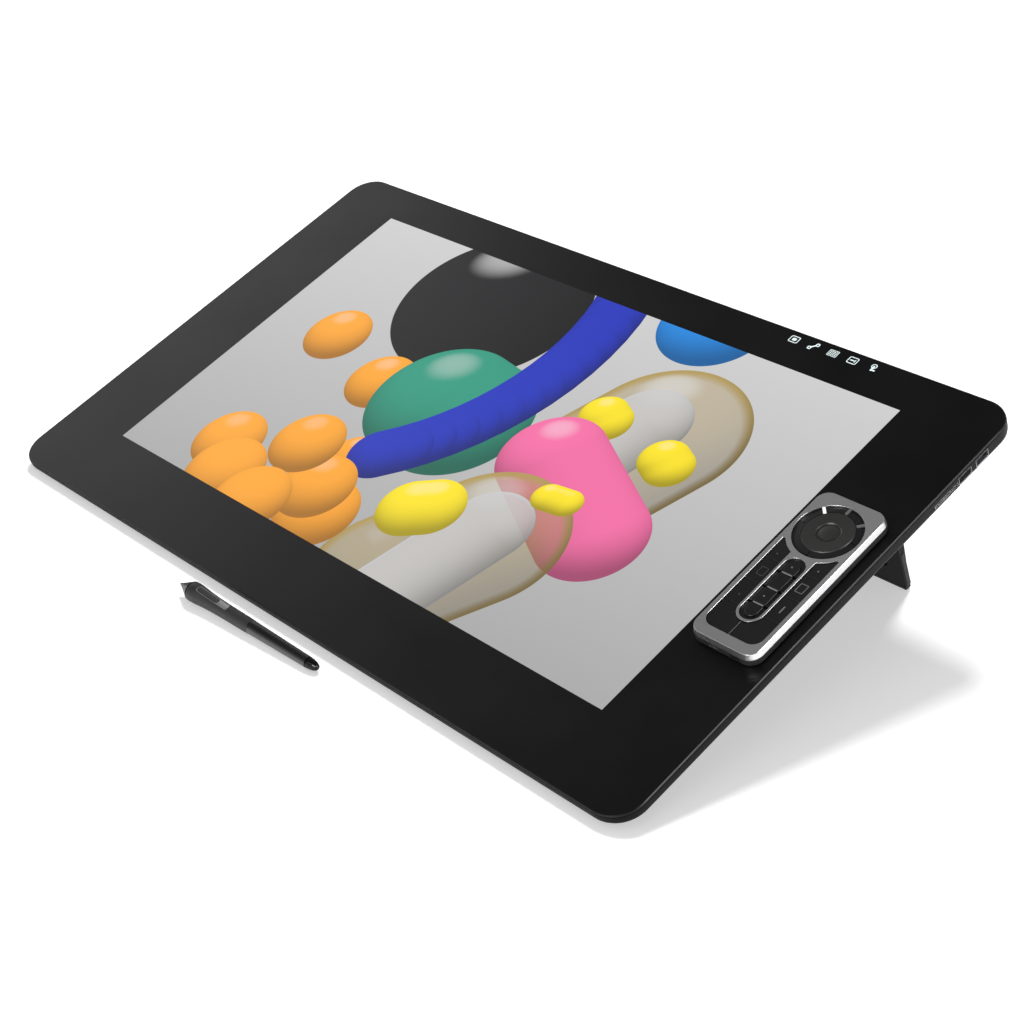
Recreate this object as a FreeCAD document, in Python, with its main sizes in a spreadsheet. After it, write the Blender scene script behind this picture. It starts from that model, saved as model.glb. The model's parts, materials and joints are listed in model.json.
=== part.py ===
"""Pen drawing tablet: a pen display on two fold-out legs, with a key remote and a pen."""

import FreeCAD, Part
import math
import os
import re
import Sketcher

Vector = FreeCAD.Vector
Rotation = FreeCAD.Rotation
Placement = FreeCAD.Placement

doc = FreeCAD.newDocument("pen_drawing_tablet")

# ---------------------------------------------------------------------------
# Driving dimensions, in millimetres and degrees. The tablet is drawn in its own
# frame: X across, Y away from the user, Z out of the glass, 0 on the glass.
# ---------------------------------------------------------------------------
SIZES = {
    # whole tablet
    "width": 660, "deep": 387, "corner": 22, "tilt": 20,
    # cover glass and display stack, downwards from the glass
    "glass_gap": 0.3, "glass_thick": 1.8, "glass_chamfer": 0.5,
    "panel_half": 266, "panel_front": -140, "panel_back": 164, "panel_gap": 2,
    "panel_low": 3.2, "backlight_low": 5.2, "sensor_low": 6.0, "chassis_low": 7.0,
    "sensor_half": 272, "sensor_front": -146, "sensor_back": 170,
    # frame that carries the glass
    "lip_low": 2.4, "frame_low": 6.0, "frame_inset": 2.2,
    # rear cover: shell, wedge and round lower edge
    "cover_top": 2.6, "cover_front_low": 9.2, "cover_back_low": 12.2,
    "cover_wall": 1.6, "cover_round": 4.2, "wedge_round": 6,
    "hump_front": -120, "hump_back": 148, "hump_tail": 172, "hump_low": 32,
    "hump_half_low": 291, "hump_half_high": 314,
    # fold-out legs
    "leg_outer": 278.2, "leg_wide": 76, "hinge_y": 118.5, "hinge_low": 22.8,
    "barrel": 5.7, "foot_thick": 5.2, "rubber_thick": 2.2, "facet": 2,
    "pin": 2.5, "pin_play": 0.05, "ear_thick": 4, "leg_play": 0.5,
    "recess_front": 10, "recess_low": 16.4,
    # rubber feet
    "foot_y": -186, "foot_low": 11.8, "foot_deep": 13, "foot_in": 70, "foot_out": 300,
    # cable bay and its lift-off cover
    "bay_half": 80, "bay_front": 112, "bay_back": 144, "bay_low": 18, "bay_play": 0.5,
    "bay_cover_thick": 1.8,
    # sockets in the right-hand wall
    "usb_low": 5.9, "usb_wide": 13.2, "usb_high": 5.8, "usb_deep": 14, "usb_first": 151.5,
    "usb_second": 133.5, "shell": 0.4, "card_y": 113.5, "card_wide": 24.5, "card_low": 6.4,
    "card_high": 2.6,
    # power button in the rear wall
    "button_x": 250, "button_wide": 16, "button_high": 3, "button_low": 6, "button_gap": 0.3,
    # wall-mount pattern and cover screws
    "mount_spacing": 100, "mount_y": 40, "insert_radius": 3, "mount_bore": 2, "insert_long": 8,
    "boss_radius": 5.5, "screw_radius": 1.5, "screw_head": 2.8, "screw_play": 0.1,
    # cooling
    "fan_y": 45, "fan_first": 95, "fan_second": 160, "fan_half": 28, "fan_top": 8.2,
    "fan_low": 17.2, "fan_radius": 23, "fan_wall": 1.2,
    # boards
    "board_left": -190, "board_right": -62, "board_front": -5, "board_back": 95,
    "board_top": 9.0, "board_thick": 1.6,
    # key remote, in its own frame: X across, Y along, 0 on its underside
    "remote_x": 295.7, "remote_y": 3.75, "remote_rest": 0.05, "remote_wide": 53,
    "remote_long": 135.5, "remote_corner": 9.5, "remote_slope": 1, "base_top": 5.6,
    "frame_bottom": 5.7, "frame_top": 9.7, "frame_bevel": 0.35, "deck_top": 6.3, "key_bottom": 6.8,
    "flange_top": 8.0, "plate_bottom": 8.3, "key_top": 8.9, "key_gap": 0.25, "split": 0.3,
    "ring_y": 37.75, "ring_well": 22.9, "ring_band": 26.3, "well_half": 22,
    "well_low": -58.75, "well_corner": 8, "well_high": 21, "rim_half": 9.75, "pill_half": 7.9,
    "rim_y": -36.25, "pill_high": 3.35, "row_one": 2.75, "row_two": -17.25, "row_three": -37.05,
    "pill_one": -2.55, "pill_two": -16.55, "pill_three": -30.35, "pill_crown": 4.75,
    "pill_top": 9.5, "bar_half": 0.5, "bar_top": 9.4, "plunger": 1.2, "plunger_hole": 1.7,
    "plunger_end": 5.5, "touch_outer": 17.2, "touch_inner": 7.7, "arc_inner": 17.5,
    "arc_outer": 21.3, "arc_flange": 23.3, "light_half": 1.0, "light_play": 0.3,
    # pen, in its own frame: X from the tip to the tail, Z through the side switch
    "pen_long": 148, "nib_out": 1.6, "nib_radius": 0.7, "cone_end": 15.0, "cone_radius": 6.95,
    "grip_start": 15.2, "bulge_at": 17.4, "bulge": 7.1, "waist_at": 40, "waist": 5.75,
    "grip_end": 79.2, "grip_tail": 5.15, "grip_bore": 4.0, "barrel_start": 79.4,
    "barrel_end": 138.2, "barrel_head": 5.05, "barrel_tail": 4.05, "eraser_start": 138.9,
    "core_radius": 3.3, "switch_start": 22.6, "switch_end": 45.3, "bezel_end": 55.6,
    "switch_half": 2.6, "bezel_rim": 0.6, "switch_low": 3.45, "pivot_rib": 0.5, "pivot_long": 3.2,
    "pen_roll": 10, "pen_pitch": 1.45, "pen_yaw": 2.1,
    "pen_x": -74.4, "pen_y": -203.1,
}

sheet = doc.addObject("Spreadsheet::Sheet", "size")
for row, (alias, size) in enumerate(SIZES.items(), start=1):
    sheet.set(f"A{row}", alias)
    sheet.set(f"B{row}", str(size))
    sheet.setAlias(f"B{row}", alias)
doc.recompute()

ALIAS_WORD = re.compile(r"\b(" + "|".join(sorted(SIZES, key=len, reverse=True)) + r")\b")


# ---------------------------------------------------------------------------
# Modelling helpers
# ---------------------------------------------------------------------------
def linked(words):
    """An expression with every alias written as a reference to the sheet."""
    return ALIAS_WORD.sub(r"size.\1", str(words))


def number(words):
    """The value of an expression, for a starting position."""
    return float(sheet.evalExpression(linked(words)))


def bind(feature, prop, words):
    feature.setExpression(prop, linked(words))


def new_body(name):
    body = doc.addObject("PartDesign::Body", name)
    body.Label = name
    return body


def new_sketch(body, role="XY_Plane", offset="0", slope=None, turn=None):
    """A sketch on an origin plane, raised by offset. A slope makes it fall away from the
    user, and a turn rotates it about its own normal."""
    sketch = body.newObject("Sketcher::SketchObject", body.Name + "_sketch")
    plane = [item for item in body.Origin.OriginFeatures if item.Role == role][0]
    sketch.AttachmentSupport = [(plane, "")]
    sketch.MapMode = "FlatFace"
    if slope is not None:
        sketch.AttachmentOffset = Placement(Vector(), Rotation(Vector(-1, 0, 0), number(slope)))
        bind(sketch, "AttachmentOffset.Rotation.Angle", slope)
    if turn is not None:
        sketch.AttachmentOffset = Placement(Vector(), Rotation(Vector(0, 0, 1), turn))
    bind(sketch, "AttachmentOffset.Base.z", offset)
    return sketch


def hold(sketch, kind, where, words):
    """A dimension of the sketch, bound to the sheet."""
    name = f"{kind.lower()}_{sketch.ConstraintCount}"
    index = sketch.addConstraint(Sketcher.Constraint(kind, *where, number(words)))
    sketch.renameConstraint(index, name)
    bind(sketch, "Constraints." + name, words)


def outline(sketch, corners):
    """A closed outline. A corner is (x, y), or (x, y, radius) where the stretch to the next
    corner is an arc: anticlockwise for "+radius" and clockwise for "-radius"."""
    points = [Vector(number(corner[0]), number(corner[1]), 0) for corner in corners]
    ends = []
    for index, corner in enumerate(corners):
        start = points[index]
        end = points[(index + 1) % len(points)]
        if len(corner) == 2:
            item = sketch.addGeometry(Part.LineSegment(start, end), False)
            ends.append((item, 1, 2))
            continue
        turn = 1 if corner[2][0] == "+" else -1
        radius = number(corner[2][1:])
        chord = end - start
        middle = (start + end) * 0.5
        rise = math.sqrt(max(radius ** 2 - (chord.Length / 2) ** 2, 0))
        side = Vector(-chord.y, chord.x, 0).normalize() * turn
        centre = middle + side * rise
        first, last = (start, end) if turn > 0 else (end, start)
        angles = [math.atan2(point.y - centre.y, point.x - centre.x) for point in (first, last)]
        circle = Part.Circle(centre, Vector(0, 0, 1), radius)
        item = sketch.addGeometry(Part.ArcOfCircle(circle, *angles), False)
        ends.append((item, 1, 2) if turn > 0 else (item, 2, 1))
    for index, (item, _, last) in enumerate(ends):
        following = ends[(index + 1) % len(ends)]
        sketch.addConstraint(Sketcher.Constraint("Coincident", item, last, following[0], following[1]))
    for index, corner in enumerate(corners):
        item, first, _ = ends[index]
        hold(sketch, "DistanceX", (-1, 1, item, first), corner[0])
        hold(sketch, "DistanceY", (-1, 1, item, first), corner[1])
        if len(corner) == 3:
            hold(sketch, "Radius", (item,), corner[2][1:])


def rectangle(sketch, left, right, low, high, radius=None):
    """A rectangle with its corners rounded to radius."""
    if radius is None:
        outline(sketch, [(left, low), (right, low), (right, high), (left, high)])
        return
    outline(sketch, [
        (f"{left} + {radius}", low), (f"{right} - {radius}", low, f"+{radius}"),
        (right, f"{low} + {radius}"), (right, f"{high} - {radius}", f"+{radius}"),
        (f"{right} - {radius}", high), (f"{left} + {radius}", high, f"+{radius}"),
        (left, f"{high} - {radius}"), (left, f"{low} + {radius}", f"+{radius}"),
    ])


def circle(sketch, across, along, radius):
    centre = Vector(number(across), number(along), 0)
    item = sketch.addGeometry(Part.Circle(centre, Vector(0, 0, 1), number(radius)), False)
    hold(sketch, "DistanceX", (-1, 1, item, 3), across)
    hold(sketch, "DistanceY", (-1, 1, item, 3), along)
    hold(sketch, "Radius", (item,), radius)


def feature(body, kind, sketch, length=None, down=False, both_sides=False):
    """A pad or pocket of a sketch. Checks that it changed the solid."""
    before = body.Shape.Volume if body.Tip else 0.0
    made = body.newObject("PartDesign::" + kind, body.Name + "_" + kind.lower())
    made.Profile = sketch
    if length is None:
        made.Type = "ThroughAll"
    else:
        bind(made, "Length", length)
    made.Reversed = down
    made.Midplane = both_sides
    sketch.Visibility = False
    doc.recompute()
    change = body.Shape.Volume - before
    if (change < 1e-6 and kind == "Pad") or (change > -1e-6 and kind == "Pocket"):
        raise RuntimeError(f"{made.Name} changed the volume by {change}")
    return made


def edges_where(shape, wanted):
    """The names of the edges whose every vertex passes the test."""
    return [
        f"Edge{index}" for index, edge in enumerate(shape.Edges, start=1)
        if all(wanted(vertex.Point) for vertex in edge.Vertexes)
    ]


def dress(body, kind, prop, amount, wanted):
    """A fillet or chamfer on the edges that pass the test."""
    base = body.Tip
    names = edges_where(base.Shape, wanted)
    if not names:
        raise RuntimeError(f"no edge of {body.Name} for its {kind}")
    made = body.newObject("PartDesign::" + kind, body.Name + "_" + kind.lower())
    made.Base = (base, names)
    bind(made, prop, amount)
    doc.recompute()
    return made


def plate(name, left, right, low, high, top, bottom, radius=None):
    """A flat piece between two heights below the glass."""
    body = new_body(name)
    sketch = new_sketch(body, offset=f"-({top})")
    rectangle(sketch, left, right, low, high, radius)
    feature(body, "Pad", sketch, f"({bottom}) - ({top})", down=True)
    return body


def turned(name, profile):
    """A piece turned about its own X axis from a closed profile of (along, radius)."""
    body = new_body(name)
    sketch = new_sketch(body, "XY_Plane")
    outline(sketch, profile)
    spin = body.newObject("PartDesign::Revolution", name + "_turned")
    spin.Profile = sketch
    axis = [item for item in body.Origin.OriginFeatures if item.Role == "X_Axis"][0]
    spin.ReferenceAxis = (axis, [""])
    spin.Angle = 360
    doc.recompute()
    return body


def spun(name, profile, angle=360):
    """A piece turned about its own Z axis from a closed profile of (radius, height)."""
    body = new_body(name)
    sketch = new_sketch(body, "XZ_Plane")
    outline(sketch, profile)
    spin = body.newObject("PartDesign::Revolution", name + "_turned")
    spin.Profile = sketch
    axis = [item for item in body.Origin.OriginFeatures if item.Role == "Z_Axis"][0]
    spin.ReferenceAxis = (axis, [""])
    spin.Angle = angle
    spin.Midplane = angle < 360
    doc.recompute()
    return body


def group(name, shapes):
    """Like pieces that share one node, as separate solids."""
    item = doc.addObject("Part::Feature", name)
    item.Label = name
    item.Shape = Part.makeCompound(shapes)
    return item


def box(left, right, low, high, bottom, top):
    """A plain block between six expressions."""
    corner = Vector(number(left), number(low), number(bottom))
    sizes = [number(f"({right}) - ({left})"), number(f"({high}) - ({low})"), number(f"({top}) - ({bottom})")]
    return Part.makeBox(*sizes, corner)


tablet_parts = []
remote_parts = []
pen_parts = []


# ---------------------------------------------------------------------------
# Display stack: cover glass, picture panel, backlight, pen sensor and chassis
# ---------------------------------------------------------------------------
glass_half_x = "(width / 2 - glass_gap)"
glass_half_y = "(deep / 2 - glass_gap)"
glass_corner = "(corner - glass_gap)"
cover_glass = plate(
    "cover_glass", f"-{glass_half_x}", glass_half_x, f"-{glass_half_y}", glass_half_y,
    "0", "glass_thick", glass_corner,
)
dress(cover_glass, "Chamfer", "Size", "glass_chamfer", lambda point: abs(point.z) < 1e-6)
tablet_parts.append(cover_glass)

screen_panel = plate(
    "screen_panel", "-panel_half", "panel_half", "panel_front", "panel_back",
    "glass_thick", "panel_low",
)
backlight_plate = plate(
    "backlight_plate", "-panel_half", "panel_half", "panel_front", "panel_back",
    "panel_low", "backlight_low",
)
sensor_board = plate(
    "pen_sensor_board", "-panel_half", "panel_half", "panel_front", "panel_back",
    "backlight_low", "sensor_low",
)
chassis_plate = plate(
    "chassis_plate", "-sensor_half", "sensor_half", "sensor_front", "sensor_back",
    "sensor_low", "chassis_low",
)
tablet_parts += [screen_panel, backlight_plate, sensor_board, chassis_plate]


# ---------------------------------------------------------------------------
# Glass frame: a thin visible lip round the glass on a wide inner frame
# ---------------------------------------------------------------------------
glass_frame = new_body("glass_frame")
lip = new_sketch(glass_frame, offset="-glass_thick")
rectangle(lip, "-width / 2", "width / 2", "-deep / 2", "deep / 2", "corner")
feature(glass_frame, "Pad", lip, "lip_low - glass_thick", down=True)
inner = new_sketch(glass_frame, offset="-lip_low")
frame_half_x = "(width / 2 - frame_inset)"
frame_half_y = "(deep / 2 - frame_inset)"
rectangle(
    inner, f"-{frame_half_x}", frame_half_x, f"-{frame_half_y}", frame_half_y,
    "(corner - frame_inset)",
)
feature(glass_frame, "Pad", inner, "frame_low - lip_low", down=True)
window = new_sketch(glass_frame, offset="-glass_thick")
rectangle(
    window, "-panel_half - panel_gap", "panel_half + panel_gap",
    "panel_front - panel_gap", "panel_back + panel_gap",
)
feature(glass_frame, "Pocket", window)
# Room for the sockets of the right-hand wall and for the power button.
notch = new_sketch(glass_frame, offset="-frame_low")
rectangle(notch, "width / 2 - 18", "width / 2", "card_y - 15", "usb_first + 10")
feature(glass_frame, "Pocket", notch, "frame_low - lip_low - 0.3", down=True)
button_notch = new_sketch(glass_frame, offset="-frame_low")
rectangle(
    button_notch, "button_x - button_wide / 2 - 2", "button_x + button_wide / 2 + 2",
    "deep / 2 - 9", "deep / 2",
)
feature(glass_frame, "Pocket", button_notch, "frame_low - lip_low - 0.3", down=True)
tablet_parts.append(glass_frame)


# ---------------------------------------------------------------------------
# Rear cover: a shell with a round lower edge, a wedge that carries the legs,
# leg recesses, a cable bay, vents, mount bosses and screw holes
# ---------------------------------------------------------------------------
COVER_START = "(cover_front_low + (cover_back_low - cover_front_low) * (hump_front + deep / 2) / deep)"
WEDGE_ANGLE = f"atan((hump_low - {COVER_START}) / (hump_back - hump_front))"


def wedge_low(along):
    """How far below the glass the wedge's underside is, at a place along Y."""
    return f"({COVER_START} + ({along} - hump_front) * (hump_low - {COVER_START}) / (hump_back - hump_front))"


def cover_low(along):
    """How far below the glass the cover's flat underside is, at a place along Y."""
    return f"(cover_front_low + (cover_back_low - cover_front_low) * ({along} + deep / 2) / deep)"


def cover_block(name, inset):
    """The cover's outer form, or with an inset the room inside it."""
    body = new_body(name)
    half_x = f"(width / 2 - {inset})"
    half_y = f"(deep / 2 - {inset})"
    back = f"(cover_back_low - {inset})"
    front = f"(cover_front_low - {inset})"
    slab = new_sketch(body, offset="-cover_top")
    rectangle(slab, f"-{half_x}", half_x, f"-{half_y}", half_y, f"(corner - {inset})")
    feature(body, "Pad", slab, f"{back} - cover_top", down=True)
    taper = new_sketch(body, "YZ_Plane")
    outline(taper, [
        (f"-{half_y} - 5", f"-{back} - 1"), (half_y, f"-{back} - 1"), (half_y, f"-{back}"),
        (f"-{half_y}", f"-{front}"), (f"-{half_y} - 5", f"-{front}"),
    ])
    feature(body, "Pocket", taper, "2 * width", both_sides=True)
    wedge = new_sketch(body, "YZ_Plane")
    outline(wedge, [
        (f"hump_front + {inset}", f"-{COVER_START} + {inset}"),
        (f"hump_back - {inset}", f"-hump_low + {inset}"),
        (f"hump_tail - {inset}", f"-{back} + 1"), (f"hump_tail - {inset}", "-cover_top - 1"),
        (f"hump_front + {inset}", "-cover_top - 1"),
    ])
    feature(body, "Pad", wedge, f"2 * (hump_half_high - {inset})", both_sides=True)
    for side in (-1, 1):
        flank = new_sketch(body, "XZ_Plane")
        outline(flank, [
            (f"{side} * (hump_half_high - {inset})", "-cover_back_low - 0.1"),
            (f"{side} * (hump_half_high + 5)", "-cover_back_low - 0.1"),
            (f"{side} * (hump_half_high + 5)", "-hump_low - 2"),
            (f"{side} * (hump_half_low - 2 - {inset})", "-hump_low - 2"),
        ])
        feature(body, "Pocket", flank, "2 * deep", both_sides=True)
    return body


def on_rim(point):
    """On the rim of the underside, where the cover is rounded."""
    near_x = abs(abs(point.x) - number("width / 2")) < 0.01
    near_y = abs(abs(point.y) - number("deep / 2")) < 0.01
    return point.z < -number("cover_front_low") + 0.01 and (near_x or near_y)


recess_left = "(leg_outer - leg_wide - ear_thick - 2 * leg_play)"
recess_right = "(leg_outer + ear_thick + 2 * leg_play)"
recess_back = "(hinge_y + barrel + 0.3)"


def cover_hollows(body, wall):
    """The leg recesses and the cable bay, each grown by a wall."""
    for side in (-1, 1):
        near, far = (recess_left, recess_right) if side > 0 else (f"-{recess_right}", f"-{recess_left}")
        recess = new_sketch(body, offset=f"-recess_low + {wall}")
        rectangle(
            recess, f"{near} - {wall}", f"{far} + {wall}",
            f"recess_front - {wall}", f"{recess_back} + {wall}",
        )
        feature(body, "Pocket", recess)
    bay = new_sketch(body, offset=f"-bay_low + {wall}")
    rectangle(
        bay, f"-bay_half - {wall}", f"bay_half + {wall}",
        f"bay_front - {wall}", f"bay_back + {wall}", f"(3 + {wall})",
    )
    feature(body, "Pocket", bay)


cover_outside = cover_block("cover_outside", "0")
dress(cover_outside, "Fillet", "Radius", "cover_round", on_rim)
dress(
    cover_outside, "Fillet", "Radius", "wedge_round",
    lambda point: point.z < -31.9 and abs(point.y - number("hump_back")) < 0.1,
)
cover_hollows(cover_outside, "0")
cover_inside = cover_block("cover_inside", "cover_wall")
cover_hollows(cover_inside, "cover_wall")
cover_shell = doc.addObject("Part::Cut", "cover_shell")
cover_shell.Base = cover_outside
cover_shell.Tool = cover_inside
doc.recompute()

rear_cover = new_body("rear_cover")
rear_cover.BaseFeature = cover_shell
doc.recompute()
tablet_parts.append(rear_cover)

# Bosses for the wall-mount inserts, square to the wedge.
WEDGE_PLANE = f"-{wedge_low('0')}"


def mount_circles(radius):
    """A sketch on the wedge's underside with a circle at each corner of the mount pattern."""
    sketch = new_sketch(rear_cover, offset=WEDGE_PLANE, slope=WEDGE_ANGLE)
    for across in ("-mount_spacing / 2", "mount_spacing / 2"):
        for along in ("mount_y - mount_spacing / 2", "mount_y + mount_spacing / 2"):
            circle(sketch, across, along, radius)
    return sketch


feature(rear_cover, "Pad", mount_circles("boss_radius"), "insert_long + cover_wall")
feature(rear_cover, "Pocket", mount_circles("insert_radius"), "insert_long", down=True)

# Screw bosses round the rim, with counterbored holes.
SCREW_ROWS = {
    "-deep / 2 + 26": (-300, -180, -60, 60, 180, 300),
    "-60": (-320, 320),
    "60": (-320, 320),
    "deep / 2 - 12": (-300, -180, -60, 60, 180),
}
for along, places in SCREW_ROWS.items():
    for kind, top, bottom, radius in (
        ("Pad", "frame_low + 0.05", f"{cover_low(along)} - 0.3", "screw_head + 1.6"),
        ("Pocket", "cover_top", None, "screw_radius + screw_play"),
        ("Pocket", f"{cover_low(along)} - 1.3", None, "screw_head + screw_play"),
    ):
        sketch = new_sketch(rear_cover, offset=f"-({top})")
        for across in places:
            circle(sketch, str(across), along, radius)
        length = f"{bottom} - ({top})" if bottom else None
        feature(rear_cover, kind, sketch, length, down=kind == "Pad")


def row_of_slots(sketch, direction_axis, length, count):
    """The last pocket of the rear cover, repeated along its sketch."""
    pattern = rear_cover.newObject("PartDesign::LinearPattern", "rear_cover_slots")
    pattern.Originals = [rear_cover.Tip]
    pattern.Direction = (sketch, [direction_axis])
    pattern.Length = length
    pattern.Occurrences = count
    rear_cover.Tip = pattern
    doc.recompute()


SLOT_PITCH = 6.4
SLOT_COUNT = 19
before_slots = rear_cover.Shape.Volume
intake = new_sketch(rear_cover, offset=WEDGE_PLANE, slope=WEDGE_ANGLE)
rectangle(intake, "70", "73", "26", "64", "1.4")
feature(rear_cover, "Pocket", intake, "cover_wall + 1.2", down=True)
row_of_slots(intake, "H_Axis", SLOT_PITCH * (SLOT_COUNT - 1), SLOT_COUNT)
for first in (-190, 90):
    exhaust = new_sketch(rear_cover, "XZ_Plane", offset="-hump_back")
    rectangle(exhaust, str(first), f"{first} + 3", "-28", "-19", "1.4")
    feature(rear_cover, "Pocket", exhaust, "20")
    row_of_slots(exhaust, "H_Axis", 5.6 * 17, 18)
if rear_cover.Shape.Volume > before_slots - 1500:
    raise RuntimeError("the vents did not repeat")

# Holes for the sockets in the right-hand wall, the button and the cable bay's sockets.
side_holes = new_sketch(rear_cover, "YZ_Plane", offset="width / 2 - 6")
SIDE_SOCKETS = (
    ("usb_first", "usb_low", "usb_wide", "usb_high"),
    ("usb_second", "usb_low", "usb_wide", "usb_high"),
    ("card_y", "card_low", "card_wide", "card_high"),
)
for along, low, wide, high in SIDE_SOCKETS:
    rectangle(
        side_holes, f"{along} - {wide} / 2 - 0.1", f"{along} + {wide} / 2 + 0.1",
        f"-{low} - {high} / 2 - 0.1", f"-{low} + {high} / 2 + 0.1",
    )
feature(rear_cover, "Pocket", side_holes, "8", down=True)
button_hole = new_sketch(rear_cover, "XZ_Plane", offset="-deep / 2 + 5")
rectangle(
    button_hole, "button_x - button_wide / 2 - button_gap", "button_x + button_wide / 2 + button_gap",
    "-button_low - button_high / 2 - button_gap", "-button_low + button_high / 2 + button_gap",
    "(button_high / 2 + button_gap - 0.05)",
)
feature(rear_cover, "Pocket", button_hole, "8")
BAY_SOCKETS = ((-60, 9.2, 3.4), (-36, 9.2, 3.4), (-8, 15.2, 5.6), (22, 16.8, 5.6), (52, 13.2, 5.8))
BAY_SOCKET_LOW = 23
bay_holes = new_sketch(rear_cover, "XZ_Plane", offset="-bay_front + 4")
for across, wide, high in BAY_SOCKETS:
    rectangle(
        bay_holes, f"{across} - {wide / 2 + 0.1}", f"{across} + {wide / 2 + 0.1}",
        f"-{BAY_SOCKET_LOW} - {high / 2 + 0.1}", f"-{BAY_SOCKET_LOW} + {high / 2 + 0.1}",
    )
feature(rear_cover, "Pocket", bay_holes, "6")

# The frame's threaded holes for the same screws.
frame_holes = new_sketch(glass_frame, offset="-frame_low")
for along, places in SCREW_ROWS.items():
    for across in places:
        circle(frame_holes, str(across), along, "screw_radius + screw_play")
feature(glass_frame, "Pocket", frame_holes, "3.2", down=True)


# ---------------------------------------------------------------------------
# Fasteners: cover screws and brass inserts of the wall mount
# ---------------------------------------------------------------------------
screws = []
for along, places in SCREW_ROWS.items():
    low = number(f"{cover_low(along)} - 0.25")
    for across in places:
        foot = Vector(across, number(along), -low)
        head = Part.makeCylinder(number("screw_head"), 1.0, foot)
        shank = Part.makeCylinder(number("screw_radius"), low - number("frame_low - 3"), foot)
        drive = Part.Face(Part.makePolygon([
            foot + Vector(1.2 * math.cos(math.radians(step)), 1.2 * math.sin(math.radians(step)), 0)
            for step in range(0, 361, 60)
        ])).extrude(Vector(0, 0, 0.7))
        screws.append(head.fuse(shank).cut(drive).removeSplitter())
cover_screws = group("cover_screws", screws)
tablet_parts.append(cover_screws)

wedge_turn = Placement(Vector(0, 0, number(WEDGE_PLANE)), Rotation(Vector(-1, 0, 0), number(WEDGE_ANGLE)))
inserts = []
for across in (-0.5, 0.5):
    for along in (-0.5, 0.5):
        place = Vector(
            across * number("mount_spacing"), number("mount_y") + along * number("mount_spacing"), 0.1
        )
        tube = Part.makeCylinder(number("insert_radius"), number("insert_long") - 0.2, place)
        tube = tube.cut(Part.makeCylinder(number("mount_bore"), number("insert_long"), place))
        tube.Placement = wedge_turn
        inserts.append(tube)
mount_inserts = group("mount_inserts", inserts)
tablet_parts.append(mount_inserts)


# ---------------------------------------------------------------------------
# Fold-out legs: a wedge-shaped leg each side on a steel pin between two ears
# ---------------------------------------------------------------------------
def desk_at(along):
    """The height of the desk in the tablet's own frame, at a place along Y."""
    return f"(-foot_low - ({along} - foot_y) * tan(tilt))"


LEG_FRONT = "(hinge_y - barrel)"
LEG_BOTTOM = f"({desk_at(LEG_FRONT)} + rubber_thick)"
RUBBER_BOTTOM = desk_at(f"({LEG_FRONT} + facet)")

ear = new_body("leg_ear")
ear_sketch = new_sketch(ear, "YZ_Plane")
outline(ear_sketch, [
    ("hinge_y - 5.2", "-hinge_low", "+5.2"), ("hinge_y", "-hinge_low - 5.2", "+5.2"),
    ("hinge_y + 5.2", "-hinge_low"), ("hinge_y + 5.2", "-recess_low"),
    ("hinge_y - 5.2", "-recess_low"),
])
circle(ear_sketch, "hinge_y", "-hinge_low", "pin")
feature(ear, "Pad", ear_sketch, "ear_thick")
pin_stock = doc.addObject("Part::Cylinder", "leg_pin")
bind(pin_stock, "Radius", "pin")
bind(pin_stock, "Height", "leg_wide + 2 * leg_play + 2 * ear_thick")
pin_stock.Placement = Placement(Vector(), Rotation(Vector(0, 1, 0), 90))
bind(pin_stock, "Placement.Base.y", "hinge_y")
bind(pin_stock, "Placement.Base.z", "-hinge_low")
doc.recompute()

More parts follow.
